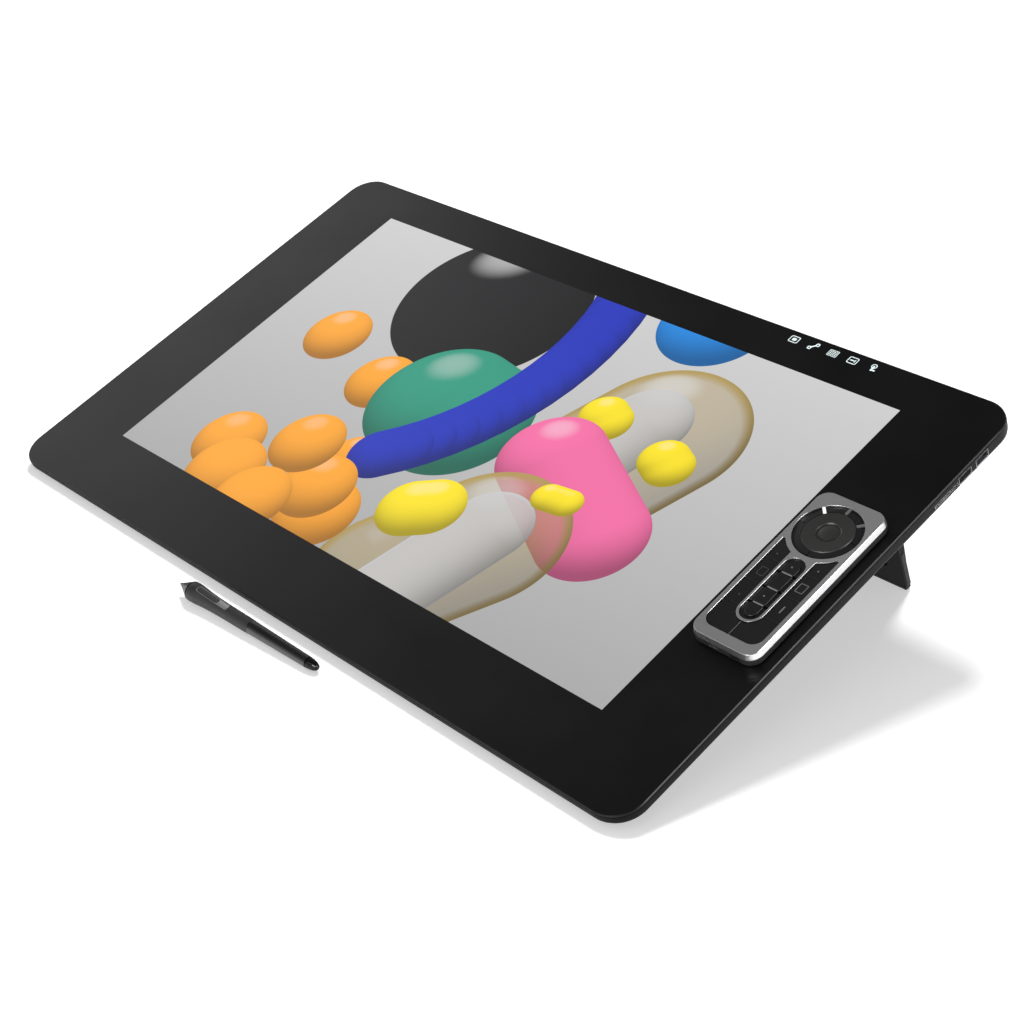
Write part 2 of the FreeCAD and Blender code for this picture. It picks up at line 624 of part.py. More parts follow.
ears = []
pins = []
for side, name in ((-1, "left"), (1, "right")):
    inner_end = number("leg_outer - leg_wide - leg_play - ear_thick")
    outer_end = number("leg_outer + leg_play")
    low_end = inner_end if side > 0 else -outer_end - number("ear_thick")
    high_end = outer_end if side > 0 else -inner_end - number("ear_thick")
    ears.append(ear.Shape.translated(Vector(low_end, 0, 0)))
    ears.append(ear.Shape.translated(Vector(high_end, 0, 0)))
    pins.append(pin_stock.Shape.translated(Vector(low_end, 0, 0)))

    start = "leg_outer - leg_wide" if side > 0 else "-leg_outer"
    leg = new_body("leg_" + name)
    leg_sketch = new_sketch(leg, "YZ_Plane", offset=start)
    outline(leg_sketch, [
        (LEG_FRONT, LEG_BOTTOM), (f"{LEG_FRONT} + foot_thick", LEG_BOTTOM),
        ("hinge_y + barrel", "-hinge_low", "+barrel"),
        ("hinge_y", "-hinge_low + barrel", "+barrel"), (LEG_FRONT, "-hinge_low"),
    ])
    feature(leg, "Pad", leg_sketch, "leg_wide")
    dress(
        leg, "Chamfer", "Size", "0.6",
        lambda point, leg=leg: point.z < -number("hinge_low") + 0.01
        and min(abs(point.x - leg.Shape.BoundBox.XMin), abs(point.x - leg.Shape.BoundBox.XMax)) < 0.01,
    )
    bore = new_sketch(leg, "YZ_Plane", offset=start)
    circle(bore, "hinge_y", "-hinge_low", "pin + pin_play")
    feature(leg, "Pocket", bore, "3 * leg_wide", both_sides=True)
    grip = new_sketch(leg, "XZ_Plane", offset=f"-{LEG_FRONT}")
    rectangle(grip, f"{start} + 12", f"{start} + leg_wide - 12", "-104", "-60", "4")
    feature(leg, "Pocket", grip, "1.2")
    rubber = new_body("leg_foot_" + name)
    rubber_sketch = new_sketch(rubber, "YZ_Plane", offset=start)
    outline(rubber_sketch, [
        (LEG_FRONT, LEG_BOTTOM), (LEG_FRONT, desk_at(LEG_FRONT)),
        (f"{LEG_FRONT} + facet", RUBBER_BOTTOM),
        (f"{LEG_FRONT} + foot_thick - 0.8", RUBBER_BOTTOM),
        (f"{LEG_FRONT} + foot_thick", f"{RUBBER_BOTTOM} + 0.8"),
        (f"{LEG_FRONT} + foot_thick", LEG_BOTTOM),
    ])
    feature(rubber, "Pad", rubber_sketch, "leg_wide")
    tablet_parts += [leg, rubber]
leg_brackets = group("leg_brackets", ears)
leg_pins = group("leg_pins", pins)
tablet_parts += [leg_brackets, leg_pins]


# ---------------------------------------------------------------------------
# Rubber feet: two strips at the front edge and two pads on the wedge
# ---------------------------------------------------------------------------
strip = new_body("front_strip")
strip_sketch = new_sketch(strip, "YZ_Plane", offset="foot_in")
STRIP_TOP = f"-({cover_low('(foot_y + foot_deep)')} + 0.02)"
outline(strip_sketch, [
    ("foot_y - facet", STRIP_TOP), ("foot_y - facet", desk_at("(foot_y - facet)")),
    ("foot_y", "-foot_low"), ("foot_y + foot_deep - 2", "-foot_low - 0.6"),
    ("foot_y + foot_deep", STRIP_TOP),
])
feature(strip, "Pad", strip_sketch, "foot_out - foot_in")
pad = new_body("wedge_pad")
pad_sketch = new_sketch(pad, offset=f"{WEDGE_PLANE} - 0.02", slope=WEDGE_ANGLE)
rectangle(pad_sketch, "95", "185", "129", "141", "5")
feature(pad, "Pad", pad_sketch, "1.5", down=True)
mirror_x = (Vector(), Vector(1, 0, 0))
rubber_feet = group("rubber_feet", [
    strip.Shape, strip.Shape.mirror(*mirror_x), pad.Shape, pad.Shape.mirror(*mirror_x),
])
tablet_parts.append(rubber_feet)


# ---------------------------------------------------------------------------
# Cable bay's lift-off cover and the sockets behind the bay's front wall
# ---------------------------------------------------------------------------
bay_cover = new_body("cable_bay_cover")
bay_sketch = new_sketch(bay_cover, offset=WEDGE_PLANE, slope=WEDGE_ANGLE)
rectangle(
    bay_sketch, "-bay_half + bay_play", "bay_half - bay_play",
    f"(bay_front + bay_play) / cos({WEDGE_ANGLE})", f"(bay_back - bay_play) / cos({WEDGE_ANGLE})", "2.5",
)
feature(bay_cover, "Pad", bay_sketch, "bay_cover_thick")
cable_exit = new_sketch(bay_cover, offset=WEDGE_PLANE, slope=WEDGE_ANGLE)
rectangle(cable_exit, "-16", "16", "bay_back - 6", "bay_back + 6")
feature(bay_cover, "Pocket", cable_exit, "2 * bay_cover_thick", both_sides=True)
tablet_parts.append(bay_cover)

sockets = []
for across, wide, high in BAY_SOCKETS:
    back = number("bay_front") - 13
    front = number("bay_front") - 0.3
    outer = box(
        f"{across - wide / 2}", f"{across + wide / 2}", f"{back}", f"{front}",
        f"{-BAY_SOCKET_LOW - high / 2}", f"{-BAY_SOCKET_LOW + high / 2}",
    )
    hollow = box(
        f"{across - wide / 2} + shell", f"{across + wide / 2} - shell", f"{back} + 1.5", f"{front} + 1",
        f"{-BAY_SOCKET_LOW - high / 2} + shell", f"{-BAY_SOCKET_LOW + high / 2} - shell",
    )
    tongue = box(
        f"{across - wide / 2} + 1.6", f"{across + wide / 2} - 1.6", f"{back} + 1", f"{front} - 1.5",
        f"{-BAY_SOCKET_LOW - 0.4}", f"{-BAY_SOCKET_LOW + 0.4}",
    )
    sockets.append(outer.cut(hollow).fuse(tongue).removeSplitter())
bay_sockets = group("bay_sockets", sockets)
tablet_parts.append(bay_sockets)


# ---------------------------------------------------------------------------
# Sockets of the right-hand wall: two data sockets and a card slot
# ---------------------------------------------------------------------------
sockets = []
for along, low, wide, high in SIDE_SOCKETS:
    outer = box(
        "width / 2 - usb_deep", "width / 2 - 0.25", f"{along} - {wide} / 2", f"{along} + {wide} / 2",
        f"-{low} - {high} / 2", f"-{low} + {high} / 2",
    )
    hollow = box(
        "width / 2 - usb_deep + 1.5", "width / 2 + 1", f"{along} - {wide} / 2 + shell",
        f"{along} + {wide} / 2 - shell", f"-{low} - {high} / 2 + shell", f"-{low} + {high} / 2 - shell",
    )
    tongue = box(
        "width / 2 - usb_deep + 1", "width / 2 - 2", f"{along} - {wide} / 2 + 1.2",
        f"{along} + {wide} / 2 - 1.2", f"-{low} + {high} / 8", f"-{low} + {high} / 8 + 0.7",
    )
    sockets.append(outer.cut(hollow).fuse(tongue).removeSplitter())
side_sockets = group("side_sockets", sockets)
tablet_parts.append(side_sockets)


# ---------------------------------------------------------------------------
# Power button in the rear wall
# ---------------------------------------------------------------------------
power_button = new_body("power_button")
cap = new_sketch(power_button, "XZ_Plane", offset="-deep / 2 + 0.1")
rectangle(
    cap, "button_x - button_wide / 2", "button_x + button_wide / 2",
    "-button_low - button_high / 2", "-button_low + button_high / 2", "(button_high / 2 - 0.05)",
)
feature(power_button, "Pad", cap, "2.8")
flange = new_sketch(power_button, "XZ_Plane", offset="-deep / 2 + cover_wall + 0.05")
rectangle(
    flange, "button_x - button_wide / 2 - 1", "button_x + button_wide / 2 + 1",
    "-button_low - button_high / 2 - 1", "-button_low + button_high / 2 + 1", "2",
)
feature(power_button, "Pad", flange, "0.8")
tablet_parts.append(power_button)


# ---------------------------------------------------------------------------
# Main board, heat sink and two blowers
# ---------------------------------------------------------------------------
main_board = plate(
    "main_board", "board_left", "board_right", "board_front", "board_back",
    "board_top", "board_top + board_thick",
)
chips = new_sketch(main_board, offset="-board_top - board_thick")
for left, right, low, high in ((-182, -174, 4, 30), (-100, -80, 0, 12), (-84, -70, 40, 60)):
    rectangle(chips, str(left), str(right), str(low), str(high))
feature(main_board, "Pad", chips, "1.2", down=True)
heat_sink = plate(
    "heat_sink", "board_left + 22", "board_left + 92", "20", "84",
    "board_top + board_thick + 0.05", "board_top + board_thick + 2",
)
fin = new_sketch(heat_sink, offset="-board_top - board_thick - 2")
rectangle(fin, "board_left + 23", "board_left + 24.2", "22", "82")
feature(heat_sink, "Pad", fin, "5", down=True)
fins = heat_sink.newObject("PartDesign::LinearPattern", "heat_sink_fins")
fins.Originals = [heat_sink.Tip]
fins.Direction = (fin, ["H_Axis"])
fins.Length = 66
fins.Occurrences = 16
heat_sink.Tip = fins
tablet_parts += [main_board, heat_sink]

housing = new_body("blower_housing")
housing_sketch = new_sketch(housing, offset="-fan_top")
rectangle(housing_sketch, "-fan_half", "fan_half", "-fan_half", "fan_half", "6")
feature(housing, "Pad", housing_sketch, "fan_low - fan_top", down=True)
scroll = new_sketch(housing, offset="-fan_top - fan_wall")
circle(scroll, "0", "0", "fan_half - fan_wall")
feature(housing, "Pocket", scroll)
outlet = new_sketch(housing, offset="-fan_top - fan_wall")
rectangle(outlet, "0", "fan_half - fan_wall", "0", "fan_half + 1")
feature(housing, "Pocket", outlet)
spindle = new_sketch(housing, offset="-fan_top - fan_wall")
circle(spindle, "0", "0", "1.5")
feature(housing, "Pad", spindle, "6.5", down=True)
blower_housings = group("blower_housings", [
    housing.Shape.translated(Vector(number(place), number("fan_y"), 0))
    for place in ("fan_first", "fan_second")
])
tablet_parts.append(blower_housings)

fan_places = {}
for name, place in (("left", "fan_first"), ("right", "fan_second")):
    rotor = spun("blower_rotor_" + name, [
        ("1.55", "-fan_top - fan_wall - 0.6"), ("8", "-fan_top - fan_wall - 0.6"),
        ("8", "-fan_low + 1"), ("1.55", "-fan_low + 1"),
    ])
    blade = new_sketch(rotor, offset="-fan_top - fan_wall - 0.8")
    rectangle(blade, "7.5", "fan_radius", "-0.5", "0.5")
    feature(rotor, "Pad", blade, "5.6", down=True)
    blades = rotor.newObject("PartDesign::PolarPattern", rotor.Name + "_blades")
    blades.Originals = [rotor.Tip]
    axis = [item for item in rotor.Origin.OriginFeatures if item.Role == "Z_Axis"][0]
    blades.Axis = (axis, [""])
    blades.Angle = 360
    blades.Occurrences = 15
    rotor.Tip = blades
    fan_places[rotor.Name] = Placement(Vector(number(place), number("fan_y"), 0), Rotation())
    tablet_parts.append(rotor)


# ---------------------------------------------------------------------------
# Key remote: base, battery, board, deck and metal frame
# ---------------------------------------------------------------------------
REMOTE_HALF = "(remote_wide / 2)"
REMOTE_END = "(remote_long / 2)"

remote_base = new_body("remote_base")
tray = new_sketch(remote_base, offset="0.4")
rectangle(tray, f"-{REMOTE_HALF}", REMOTE_HALF, f"-{REMOTE_END}", REMOTE_END, "remote_corner")
feature(remote_base, "Pad", tray, "base_top - 0.4")
dress(remote_base, "Fillet", "Radius", "1.2", lambda point: abs(point.z - 0.4) < 0.01)
hollow = new_sketch(remote_base, offset="base_top")
rectangle(
    hollow, f"-{REMOTE_HALF} + cover_wall", f"{REMOTE_HALF} - cover_wall",
    f"-{REMOTE_END} + cover_wall", f"{REMOTE_END} - cover_wall", "(remote_corner - cover_wall)",
)
feature(remote_base, "Pocket", hollow, "base_top - 1.7")
REMOTE_SOCKET = ("-9.8", "-2", "1.9", "4.7")
REMOTE_SWITCH = ("8", "15", "2.2", "4.2")
end_holes = new_sketch(remote_base, "XZ_Plane", offset=f"{REMOTE_END} - cover_wall - 1")
for left, right, low, high in (REMOTE_SOCKET, REMOTE_SWITCH):
    rectangle(end_holes, f"{left} - 0.1", f"{right} + 0.1", f"{low} - 0.1", f"{high} + 0.1", "0.5")
feature(remote_base, "Pocket", end_holes, "4", down=True)
remote_parts.append(remote_base)

remote_feet = group("remote_feet", [
    box("-20", "-8", f"{low}", f"{low} + 12", "0", "0.38").fuse(
        box("8", "20", f"{low}", f"{low} + 12", "0", "0.38")
    ) for low in (-56, 44)
])
remote_parts.append(remote_feet)

remote_battery = new_body("remote_battery")
cell = new_sketch(remote_battery, offset="1.75")
rectangle(cell, "-19", "19", "-30", "26", "2")
feature(remote_battery, "Pad", cell, "2")
remote_board = new_body("remote_board")
board = new_sketch(remote_board, offset="4")
rectangle(board, "-23.5", "23.5", "-58", "62", "6")
feature(remote_board, "Pad", board, "0.8")
remote_parts += [remote_battery, remote_board]

socket_left, socket_right, socket_low, socket_high = REMOTE_SOCKET
socket_shell = box(
    socket_left, socket_right, f"-{REMOTE_END} + 0.2", f"-{REMOTE_END} + 6", socket_low, socket_high
).cut(box(
    f"{socket_left} + 0.3", f"{socket_right} - 0.3", f"-{REMOTE_END} - 1", f"-{REMOTE_END} + 5",
    f"{socket_low} + 0.3", f"{socket_high} - 0.3",
)).fuse(box("-8.4", "-3.4", f"-{REMOTE_END} + 1.2", f"-{REMOTE_END} + 5.5", "3.2", "3.6"))
remote_socket = group("remote_socket", [socket_shell.removeSplitter()])
remote_parts.append(remote_socket)

remote_switch = new_body("remote_switch")
knob = new_sketch(remote_switch, "XZ_Plane", offset=f"{REMOTE_END} - 0.1")
rectangle(knob, "8.1", "12.1", "2.35", "4.05", "0.3")
feature(remote_switch, "Pad", knob, "3", down=True)
remote_parts.append(remote_switch)

remote_frame = new_body("remote_frame")
frame_rings = []
for height, inset in (
    ("frame_bottom", "0"), ("frame_top - frame_bevel", "remote_slope"),
    ("frame_top", "(remote_slope + frame_bevel)"),
):
    ring = new_sketch(remote_frame, offset=height)
    rectangle(
        ring, f"-{REMOTE_HALF} + {inset}", f"{REMOTE_HALF} - {inset}",
        f"-{REMOTE_END} + {inset}", f"{REMOTE_END} - {inset}", f"(remote_corner - {inset})",
    )
    frame_rings.append(ring)
loft = remote_frame.newObject("PartDesign::AdditiveLoft", "remote_frame_loft")
loft.Profile = frame_rings[0]
loft.Sections = frame_rings[1:]
loft.Ruled = True
doc.recompute()
under = new_sketch(remote_frame, offset="frame_bottom")
UNDER = "(cover_wall + remote_slope)"
rectangle(
    under, f"-{REMOTE_HALF} + {UNDER}", f"{REMOTE_HALF} - {UNDER}",
    f"-{REMOTE_END} + {UNDER}", f"{REMOTE_END} - {UNDER}", f"(remote_corner - {UNDER})",
)
feature(remote_frame, "Pocket", under, "plate_bottom - frame_bottom", down=True)


def well_outline(sketch, gap, high):
    """The U-shaped key well between the ring's band and the pill's rim, shrunk by a gap."""
    half = f"(well_half - {gap})"
    rim = f"(rim_half + {gap})"
    band = f"(ring_band + {gap})"
    low = f"(well_low + {gap})"
    bend = f"(well_corner - {gap})"
    inner_high = f"(ring_y - sqrt({band} ^ 2 - {rim} ^ 2))"
    outer_x = f"sqrt({band} ^ 2 - (ring_y - {high}) ^ 2)"
    outline(sketch, [
        (f"-{half} + {bend}", low), (f"{half} - {bend}", low, f"+{bend}"),
        (half, f"{low} + {bend}"), (half, high), (outer_x, high, f"-{band}"),
        (rim, inner_high), (rim, "rim_y", f"-{rim}"), ("0", f"rim_y - {rim}", f"-{rim}"),
        (f"-{rim}", "rim_y"), (f"-{rim}", inner_high, f"-{band}"), (f"-{outer_x}", high),
        (f"-{half}", high), (f"-{half}", f"{low} + {bend}", f"+{bend}"),
    ])


def pill_outline(sketch, half, high=None, low="rim_y"):
    """A slot with two round ends."""
    top = high or "pill_high"
    outline(sketch, [
        (half, low), (half, top, f"+{half}"), ("0", f"{top} + {half}", f"+{half}"),
        (f"-{half}", top), (f"-{half}", low, f"+{half}"), ("0", f"{low} - {half}", f"+{half}"),
    ])


wells = new_sketch(remote_frame, offset="frame_top")
well_outline(wells, "0", "well_high")
feature(remote_frame, "Pocket", wells)
rings = new_sketch(remote_frame, offset="frame_top")
circle(rings, "0", "ring_y", "ring_well")
pill_outline(rings, "pill_half")
feature(remote_frame, "Pocket", rings)
dress(
    remote_frame, "Chamfer", "Size", "0.2",
    lambda point: abs(point.z - number("frame_top")) < 0.01
    and abs(point.x) < number("well_half") + 1.2
    and number("well_low") - 0.1 < point.y < number("ring_y + ring_well") + 0.1,
)
remote_parts.append(remote_frame)

# ---------------------------------------------------------------------------
# Keys of the remote: three rows and a corner key each side, four keys in the
# pill, four arc keys round the touch ring and the round centre key
# ---------------------------------------------------------------------------
plunger_places = []
key_names = []


def add_plunger(body, across, along):
    """The post under a key that presses its switch."""
    post = new_sketch(body, offset="plunger_end")
    circle(post, across, along, "plunger")
    feature(body, "Pad", post, "key_bottom - plunger_end")
    plunger_places.append((number(across), number(along)))


def finish_key(body):
    remote_parts.append(body)
    key_names.append(body.Name)


ROWS = {
    "one": ("row_one + split / 2", "well_high - key_gap"),
    "two": ("row_two + split / 2", "row_one - split / 2"),
    "three": ("row_three + split / 2", "row_two - split / 2"),
}
for side, name in ((-1, "left"), (1, "right")):
    inner = "(rim_half + key_gap)"
    outer = "(well_half - key_gap)"
    for row, (low, high) in ROWS.items():
        key = new_body(f"{name}_key_{row}")
        for top, spread in (("flange_top", 0.7), ("key_top", 0)):
            block = new_sketch(key, offset="key_bottom")
            near, far = (f"{inner} - {spread}", f"{outer} + {spread}")
            if side > 0:
                rectangle(block, near, far, low, high)
            else:
                rectangle(block, f"-({far})", f"-({near})", low, high)
            feature(key, "Pad", block, f"{top} - key_bottom")
        if row == "one":
            band = new_sketch(key, offset="key_bottom")
            circle(band, "0", "ring_y", "ring_band + key_gap")
            feature(key, "Pocket", band, "20", both_sides=True)
        dress(key, "Chamfer", "Size", "0.25", lambda point: abs(point.z - number("key_top")) < 0.01)
        middle = f"{side} * ({inner} + {outer}) / 2"
        add_plunger(key, middle, "row_one + 5" if row == "one" else f"({low} + {high}) / 2")
        finish_key(key)
    corner_key = new_body(f"{name}_key_corner")
    low = "(well_low + key_gap)"
    high = "(row_three - split / 2)"
    bend = "(well_corner - key_gap)"
    for top, spread in (("flange_top", 0.7), ("key_top", 0)):
        block = new_sketch(corner_key, offset="key_bottom")
        far = f"({outer} + {spread})"
        if side > 0:
            outline(block, [
                ("split / 2", f"{low} - {spread}"), (f"{far} - {bend}", f"{low} - {spread}", f"+{bend}"),
                (far, f"{low} - {spread} + {bend}"), (far, high), ("split / 2", high),
            ])
        else:
            outline(block, [
                ("-split / 2", high), (f"-{far}", high),
                (f"-{far}", f"{low} - {spread} + {bend}", f"+{bend}"),
                (f"-{far} + {bend}", f"{low} - {spread}"), ("-split / 2", f"{low} - {spread}"),
            ])
        feature(corner_key, "Pad", block, f"{top} - key_bottom")
    rim = new_sketch(corner_key, offset="key_bottom")
    pill_outline(rim, "(rim_half + key_gap)", high="rim_y + 10")
    feature(corner_key, "Pocket", rim, "20", both_sides=True)
    dress(corner_key, "Chamfer", "Size", "0.25", lambda point: abs(point.z - number("key_top")) < 0.01)
    add_plunger(corner_key, f"{side} * 13", "well_low + 9")
    finish_key(corner_key)

PILL_KEYS = {
    "one": ("pill_one + bar_half + key_gap", None),
    "two": ("pill_two + bar_half + key_gap", "pill_one - bar_half - key_gap"),
    "three": ("pill_three + bar_half + key_gap", "pill_two - bar_half - key_gap"),
    "four": (None, "pill_three - bar_half - key_gap"),
}
for name, (low, high) in PILL_KEYS.items():
    key = new_body("pill_key_" + name)
    for bottom, top, half in (
        ("key_bottom", "plate_bottom", "(pill_half - key_gap)"),
        ("plate_bottom", "pill_top", "pill_crown"),
    ):
        block = new_sketch(key, offset=bottom)
        if high is None:
            outline(block, [
                (f"-{half}", low), (half, low), (half, "pill_high", f"+{half}"),
                ("0", f"pill_high + {half}", f"+{half}"), (f"-{half}", "pill_high"),
            ])
        elif low is None:
            outline(block, [
                (half, high), (f"-{half}", high), (f"-{half}", "rim_y", f"+{half}"),
                ("0", f"rim_y - {half}", f"+{half}"), (half, "rim_y"),
            ])
        else:
            rectangle(block, f"-{half}", half, low, high)
        feature(key, "Pad", block, f"{top} - {bottom}")
    dress(key, "Fillet", "Radius", "0.6", lambda point: abs(point.z - number("pill_top")) < 0.01)
    along = {"one": "3.3", "four": "-36"}.get(name) or f"({low} + {high}) / 2"
    add_plunger(key, "0", along)
    finish_key(key)

ring_place = Placement(Vector(0, number("ring_y"), 0), Rotation())
key_places = {}
LIGHT_TURNS = (45, 90, 135)
for index, name in enumerate(("upper_right", "upper_left", "lower_left", "lower_right")):
    middle_turn = 45 + 90 * index
    arc_key = spun("arc_key_" + name, [
        ("arc_inner", "key_bottom"), ("arc_flange", "key_bottom"), ("arc_flange", "flange_top"),
        ("arc_outer", "flange_top"), ("arc_outer", "plate_bottom"), ("arc_inner", "key_top + 0.1"),
    ], 88.6)
    for light_turn in LIGHT_TURNS:
        if abs(light_turn - middle_turn) > 46:
            continue
        slot = new_sketch(arc_key, offset="flange_top", turn=light_turn - middle_turn)
        rectangle(
            slot, "arc_inner - 1", "arc_flange + 1", "-light_half - light_play", "light_half + light_play"
        )
        feature(arc_key, "Pocket", slot, "3", down=True)
    post = new_sketch(arc_key, offset="plunger_end")
    circle(post, "20", "0", "plunger")
    feature(arc_key, "Pad", post, "key_bottom - plunger_end")
    turn = math.radians(middle_turn)
    plunger_places.append((20 * math.cos(turn), number("ring_y") + 20 * math.sin(turn)))
    key_places[arc_key.Name] = ring_place.multiply(Placement(Vector(), Rotation(Vector(0, 0, 1), middle_turn)))
    finish_key(arc_key)

centre_key = spun("centre_key", [
    ("0", "plunger_end"), ("plunger", "plunger_end"), ("plunger", "key_bottom"),
    ("touch_inner - key_gap", "key_bottom"), ("touch_inner - key_gap", "flange_top + 0.2"),
    ("6.3", "flange_top + 0.2"), ("6.0", "key_top - 0.1", "+22"), ("0.4", "frame_top"), ("0", "frame_top"),
])
plunger_places.append((0.0, number("ring_y")))
key_places["centre_key"] = ring_place
finish_key(centre_key)

touch_ring = spun("touch_ring", [
    ("touch_inner", "deck_top"), ("touch_outer", "deck_top"), ("touch_outer", "frame_top - 0.8"),
    ("touch_outer - 0.5", "frame_top - 0.35"), ("touch_inner + 0.9", "frame_top - 0.7"),
    ("touch_inner", "frame_top - 1.3"),
])
key_places["touch_ring"] = ring_place
remote_parts.append(touch_ring)

lights = []
for light_turn in LIGHT_TURNS:
    light = box("arc_inner + 0.2", "ring_well", "-light_half", "light_half", "plate_bottom", "key_top + 0.25")
    light = light.common(Part.makeCylinder(number("ring_well"), 20))
    light.rotate(Vector(), Vector(0, 0, 1), light_turn)
    light.translate(Vector(0, number("ring_y"), 0))
    lights.append(light)
ring_lights = group("ring_lights", lights)
remote_parts.append(ring_lights)

remote_deck = new_body("remote_deck")
deck = new_sketch(remote_deck, offset="frame_bottom + 0.05")
rectangle(
    deck, f"-{REMOTE_HALF} + {UNDER} + 0.2", f"{REMOTE_HALF} - {UNDER} - 0.2",
    f"-{REMOTE_END} + {UNDER} + 0.2", f"{REMOTE_END} - {UNDER} - 0.2", f"(remote_corner - {UNDER} - 0.2)",
)
for across, along in plunger_places:
    circle(deck, str(across), str(along), "plunger_hole")
feature(remote_deck, "Pad", deck, "deck_top - frame_bottom - 0.05")
bars = new_sketch(remote_deck, offset="deck_top")
for along in ("pill_one", "pill_two", "pill_three"):
    rectangle(bars, "-pill_crown + 0.6", "pill_crown - 0.6", f"{along} - bar_half", f"{along} + bar_half")
feature(remote_deck, "Pad", bars, "bar_top - deck_top")
remote_parts.append(remote_deck)


# ---------------------------------------------------------------------------
# Pen: cone, nib, core, rubber grip, switch bezel, rocker, barrel and eraser
# ---------------------------------------------------------------------------
def grip_face(rise):
    """The grip's outer line from the cone to the barrel, as a curve of (along, radius)."""
    knots = [
        ("grip_start", "bulge - 0.08"), ("bulge_at", "bulge"), ("bulge_at + 5", "bulge - 0.22"),
        ("waist_at - 10", "waist + 0.5"),
        ("waist_at", "waist"), ("grip_end - 20", "(waist + grip_tail) / 2 - 0.1"),
        ("grip_end", "grip_tail"),
    ]
    points = [Vector(number(along), number(radius) + rise, 0) for along, radius in knots]
    curve = Part.BSplineCurve()
    curve.interpolate(points)
    return curve.toShape(), points


def turned_grip(rise, bore):
    """A solid of the grip's outer line, turned about the pen's axis, with a bore."""
    edge, points = grip_face(rise)
    first, last = points[0], points[-1]
    inner_last = Vector(last.x, bore, 0)
    inner_first = Vector(first.x, bore, 0)
    wire = Part.Wire([
        edge, Part.makeLine(last, inner_last), Part.makeLine(inner_last, inner_first),
        Part.makeLine(inner_first, first),
    ])
    return Part.Face(wire).revolve(Vector(), Vector(1, 0, 0), 360)


def switch_prism(start, end, half, low):
    """An upright prism with rounded corners through the switch side."""
    slab = box(start, end, f"-({half})", half, low, "12")
    upright = [edge for edge in slab.Edges if edge.BoundBox.ZLength > 5]
    return slab.makeFillet(1.4, upright)


grip_solid = turned_grip(0, number("grip_bore"))
opening = switch_prism("switch_start", "bezel_end", "switch_half", "2")
pen_grip = group("pen_grip", [grip_solid.cut(opening)])
bezel_outer = switch_prism("switch_start + 0.05", "bezel_end - 0.05", "switch_half - 0.05", "2")
bezel_inner = switch_prism(
    "switch_start + bezel_rim", "switch_end", "switch_half - bezel_rim", "1",
)
bezel_solid = turned_grip(0.25, number("core_radius")).common(bezel_outer).cut(bezel_inner)
pen_bezel = group("pen_switch_bezel", [bezel_solid])
switch_block = switch_prism(
    "switch_start + bezel_rim + 0.25", "switch_end - 0.25", "switch_half - bezel_rim - 0.22", "switch_low",
)
pivot_along = number("(switch_start + bezel_rim + switch_end) / 2")
pivot_rib = Part.makeCylinder(
    number("pivot_rib"), number("pivot_long"),
    Vector(pivot_along, -number("pivot_long") / 2, number("switch_low")), Vector(0, 1, 0),
)
switch_solid = turned_grip(0.75, 0.5).common(switch_block).fuse(pivot_rib)
pen_switch = group("pen_switch", [switch_solid])

pen_cone = turned("pen_cone", [
    ("nib_out", "nib_radius + 0.06"), ("nib_out", "0.95"), ("cone_end - 0.9", "cone_radius"),
    ("cone_end", "cone_radius - 0.25"), ("cone_end", "nib_radius + 0.06"),
])
pen_nib = turned("pen_nib", [
    ("0", "0"), ("nib_radius", "nib_radius", ), ("30", "nib_radius"), ("30", "0"),
])
dress(pen_nib, "Fillet", "Radius", "0.25", lambda point: abs(point.x - 0.7) < 0.01)
pen_core = turned("pen_core", [
    ("cone_end + 0.1", "nib_radius + 0.06"), ("cone_end + 0.1", "core_radius"),
    ("128", "core_radius"), ("128", "0"), ("31.5", "0"), ("31.5", "nib_radius + 0.06"),
])
flat = new_sketch(pen_core, "XZ_Plane", offset="-8")
rectangle(flat, "switch_start - 1", "switch_end + 1", "2.3", "6")
feature(pen_core, "Pocket", flat, "20", down=True)
pen_barrel = turned("pen_barrel", [
    ("barrel_start", "core_radius + 0.1"), ("barrel_start", "barrel_head"),
    ("barrel_end", "barrel_tail"), ("barrel_end", "core_radius + 0.1"),
])
pen_eraser = turned("pen_eraser", [
    ("129", "0"), ("129", "2.6"), ("eraser_start", "2.6"), ("eraser_start", "barrel_tail - 0.15"),
    ("eraser_start + 2.2", "barrel_tail - 0.25"), ("pen_long - 3.2", "3.1", ),
    ("pen_long - 1", "2.1"), ("pen_long", "0.9"), ("pen_long", "0"),
])
pen_parts += [pen_grip, pen_bezel, pen_switch, pen_cone, pen_nib, pen_core, pen_barrel, pen_eraser]


# ---------------------------------------------------------------------------
# Places: the tablet leans back on its legs, the remote lies on its glass and
# the pen lies on the desk. The origin is the middle of the footprint, on the desk.
# ---------------------------------------------------------------------------
doc.recompute()
lean = math.radians(number("tilt"))
lift = number("foot_low") * math.cos(lean) - number("foot_y") * math.sin(lean)
tablet_place = Placement(Vector(0, 0, lift), Rotation(Vector(1, 0, 0), number("tilt")))
remote_place = tablet_place.multiply(
    Placement(Vector(number("remote_x"), number("remote_y"), number("remote_rest")), Rotation())
)
pen_turn = (
    Rotation(Vector(0, 0, 1), number("pen_yaw"))
    .multiply(Rotation(Vector(0, 1, 0), number("pen_pitch")))
    .multiply(Rotation(Vector(1, 0, 0), number("pen_roll")))
)
pen_place = Placement(Vector(number("pen_x"), number("pen_y"), 0), pen_turn)


def set_places(shift):
    """Puts every part in its place, with the whole object moved by a shift."""
    for item in tablet_parts:
        own = fan_places.get(item.Name, Placement())
        item.Placement = shift.multiply(tablet_place).multiply(own)
    for item in remote_parts:
        own = key_places.get(item.Name, Placement())
        item.Placement = shift.multiply(remote_place).multiply(own)
    for item in pen_parts:
        item.Placement = shift.multiply(pen_place)


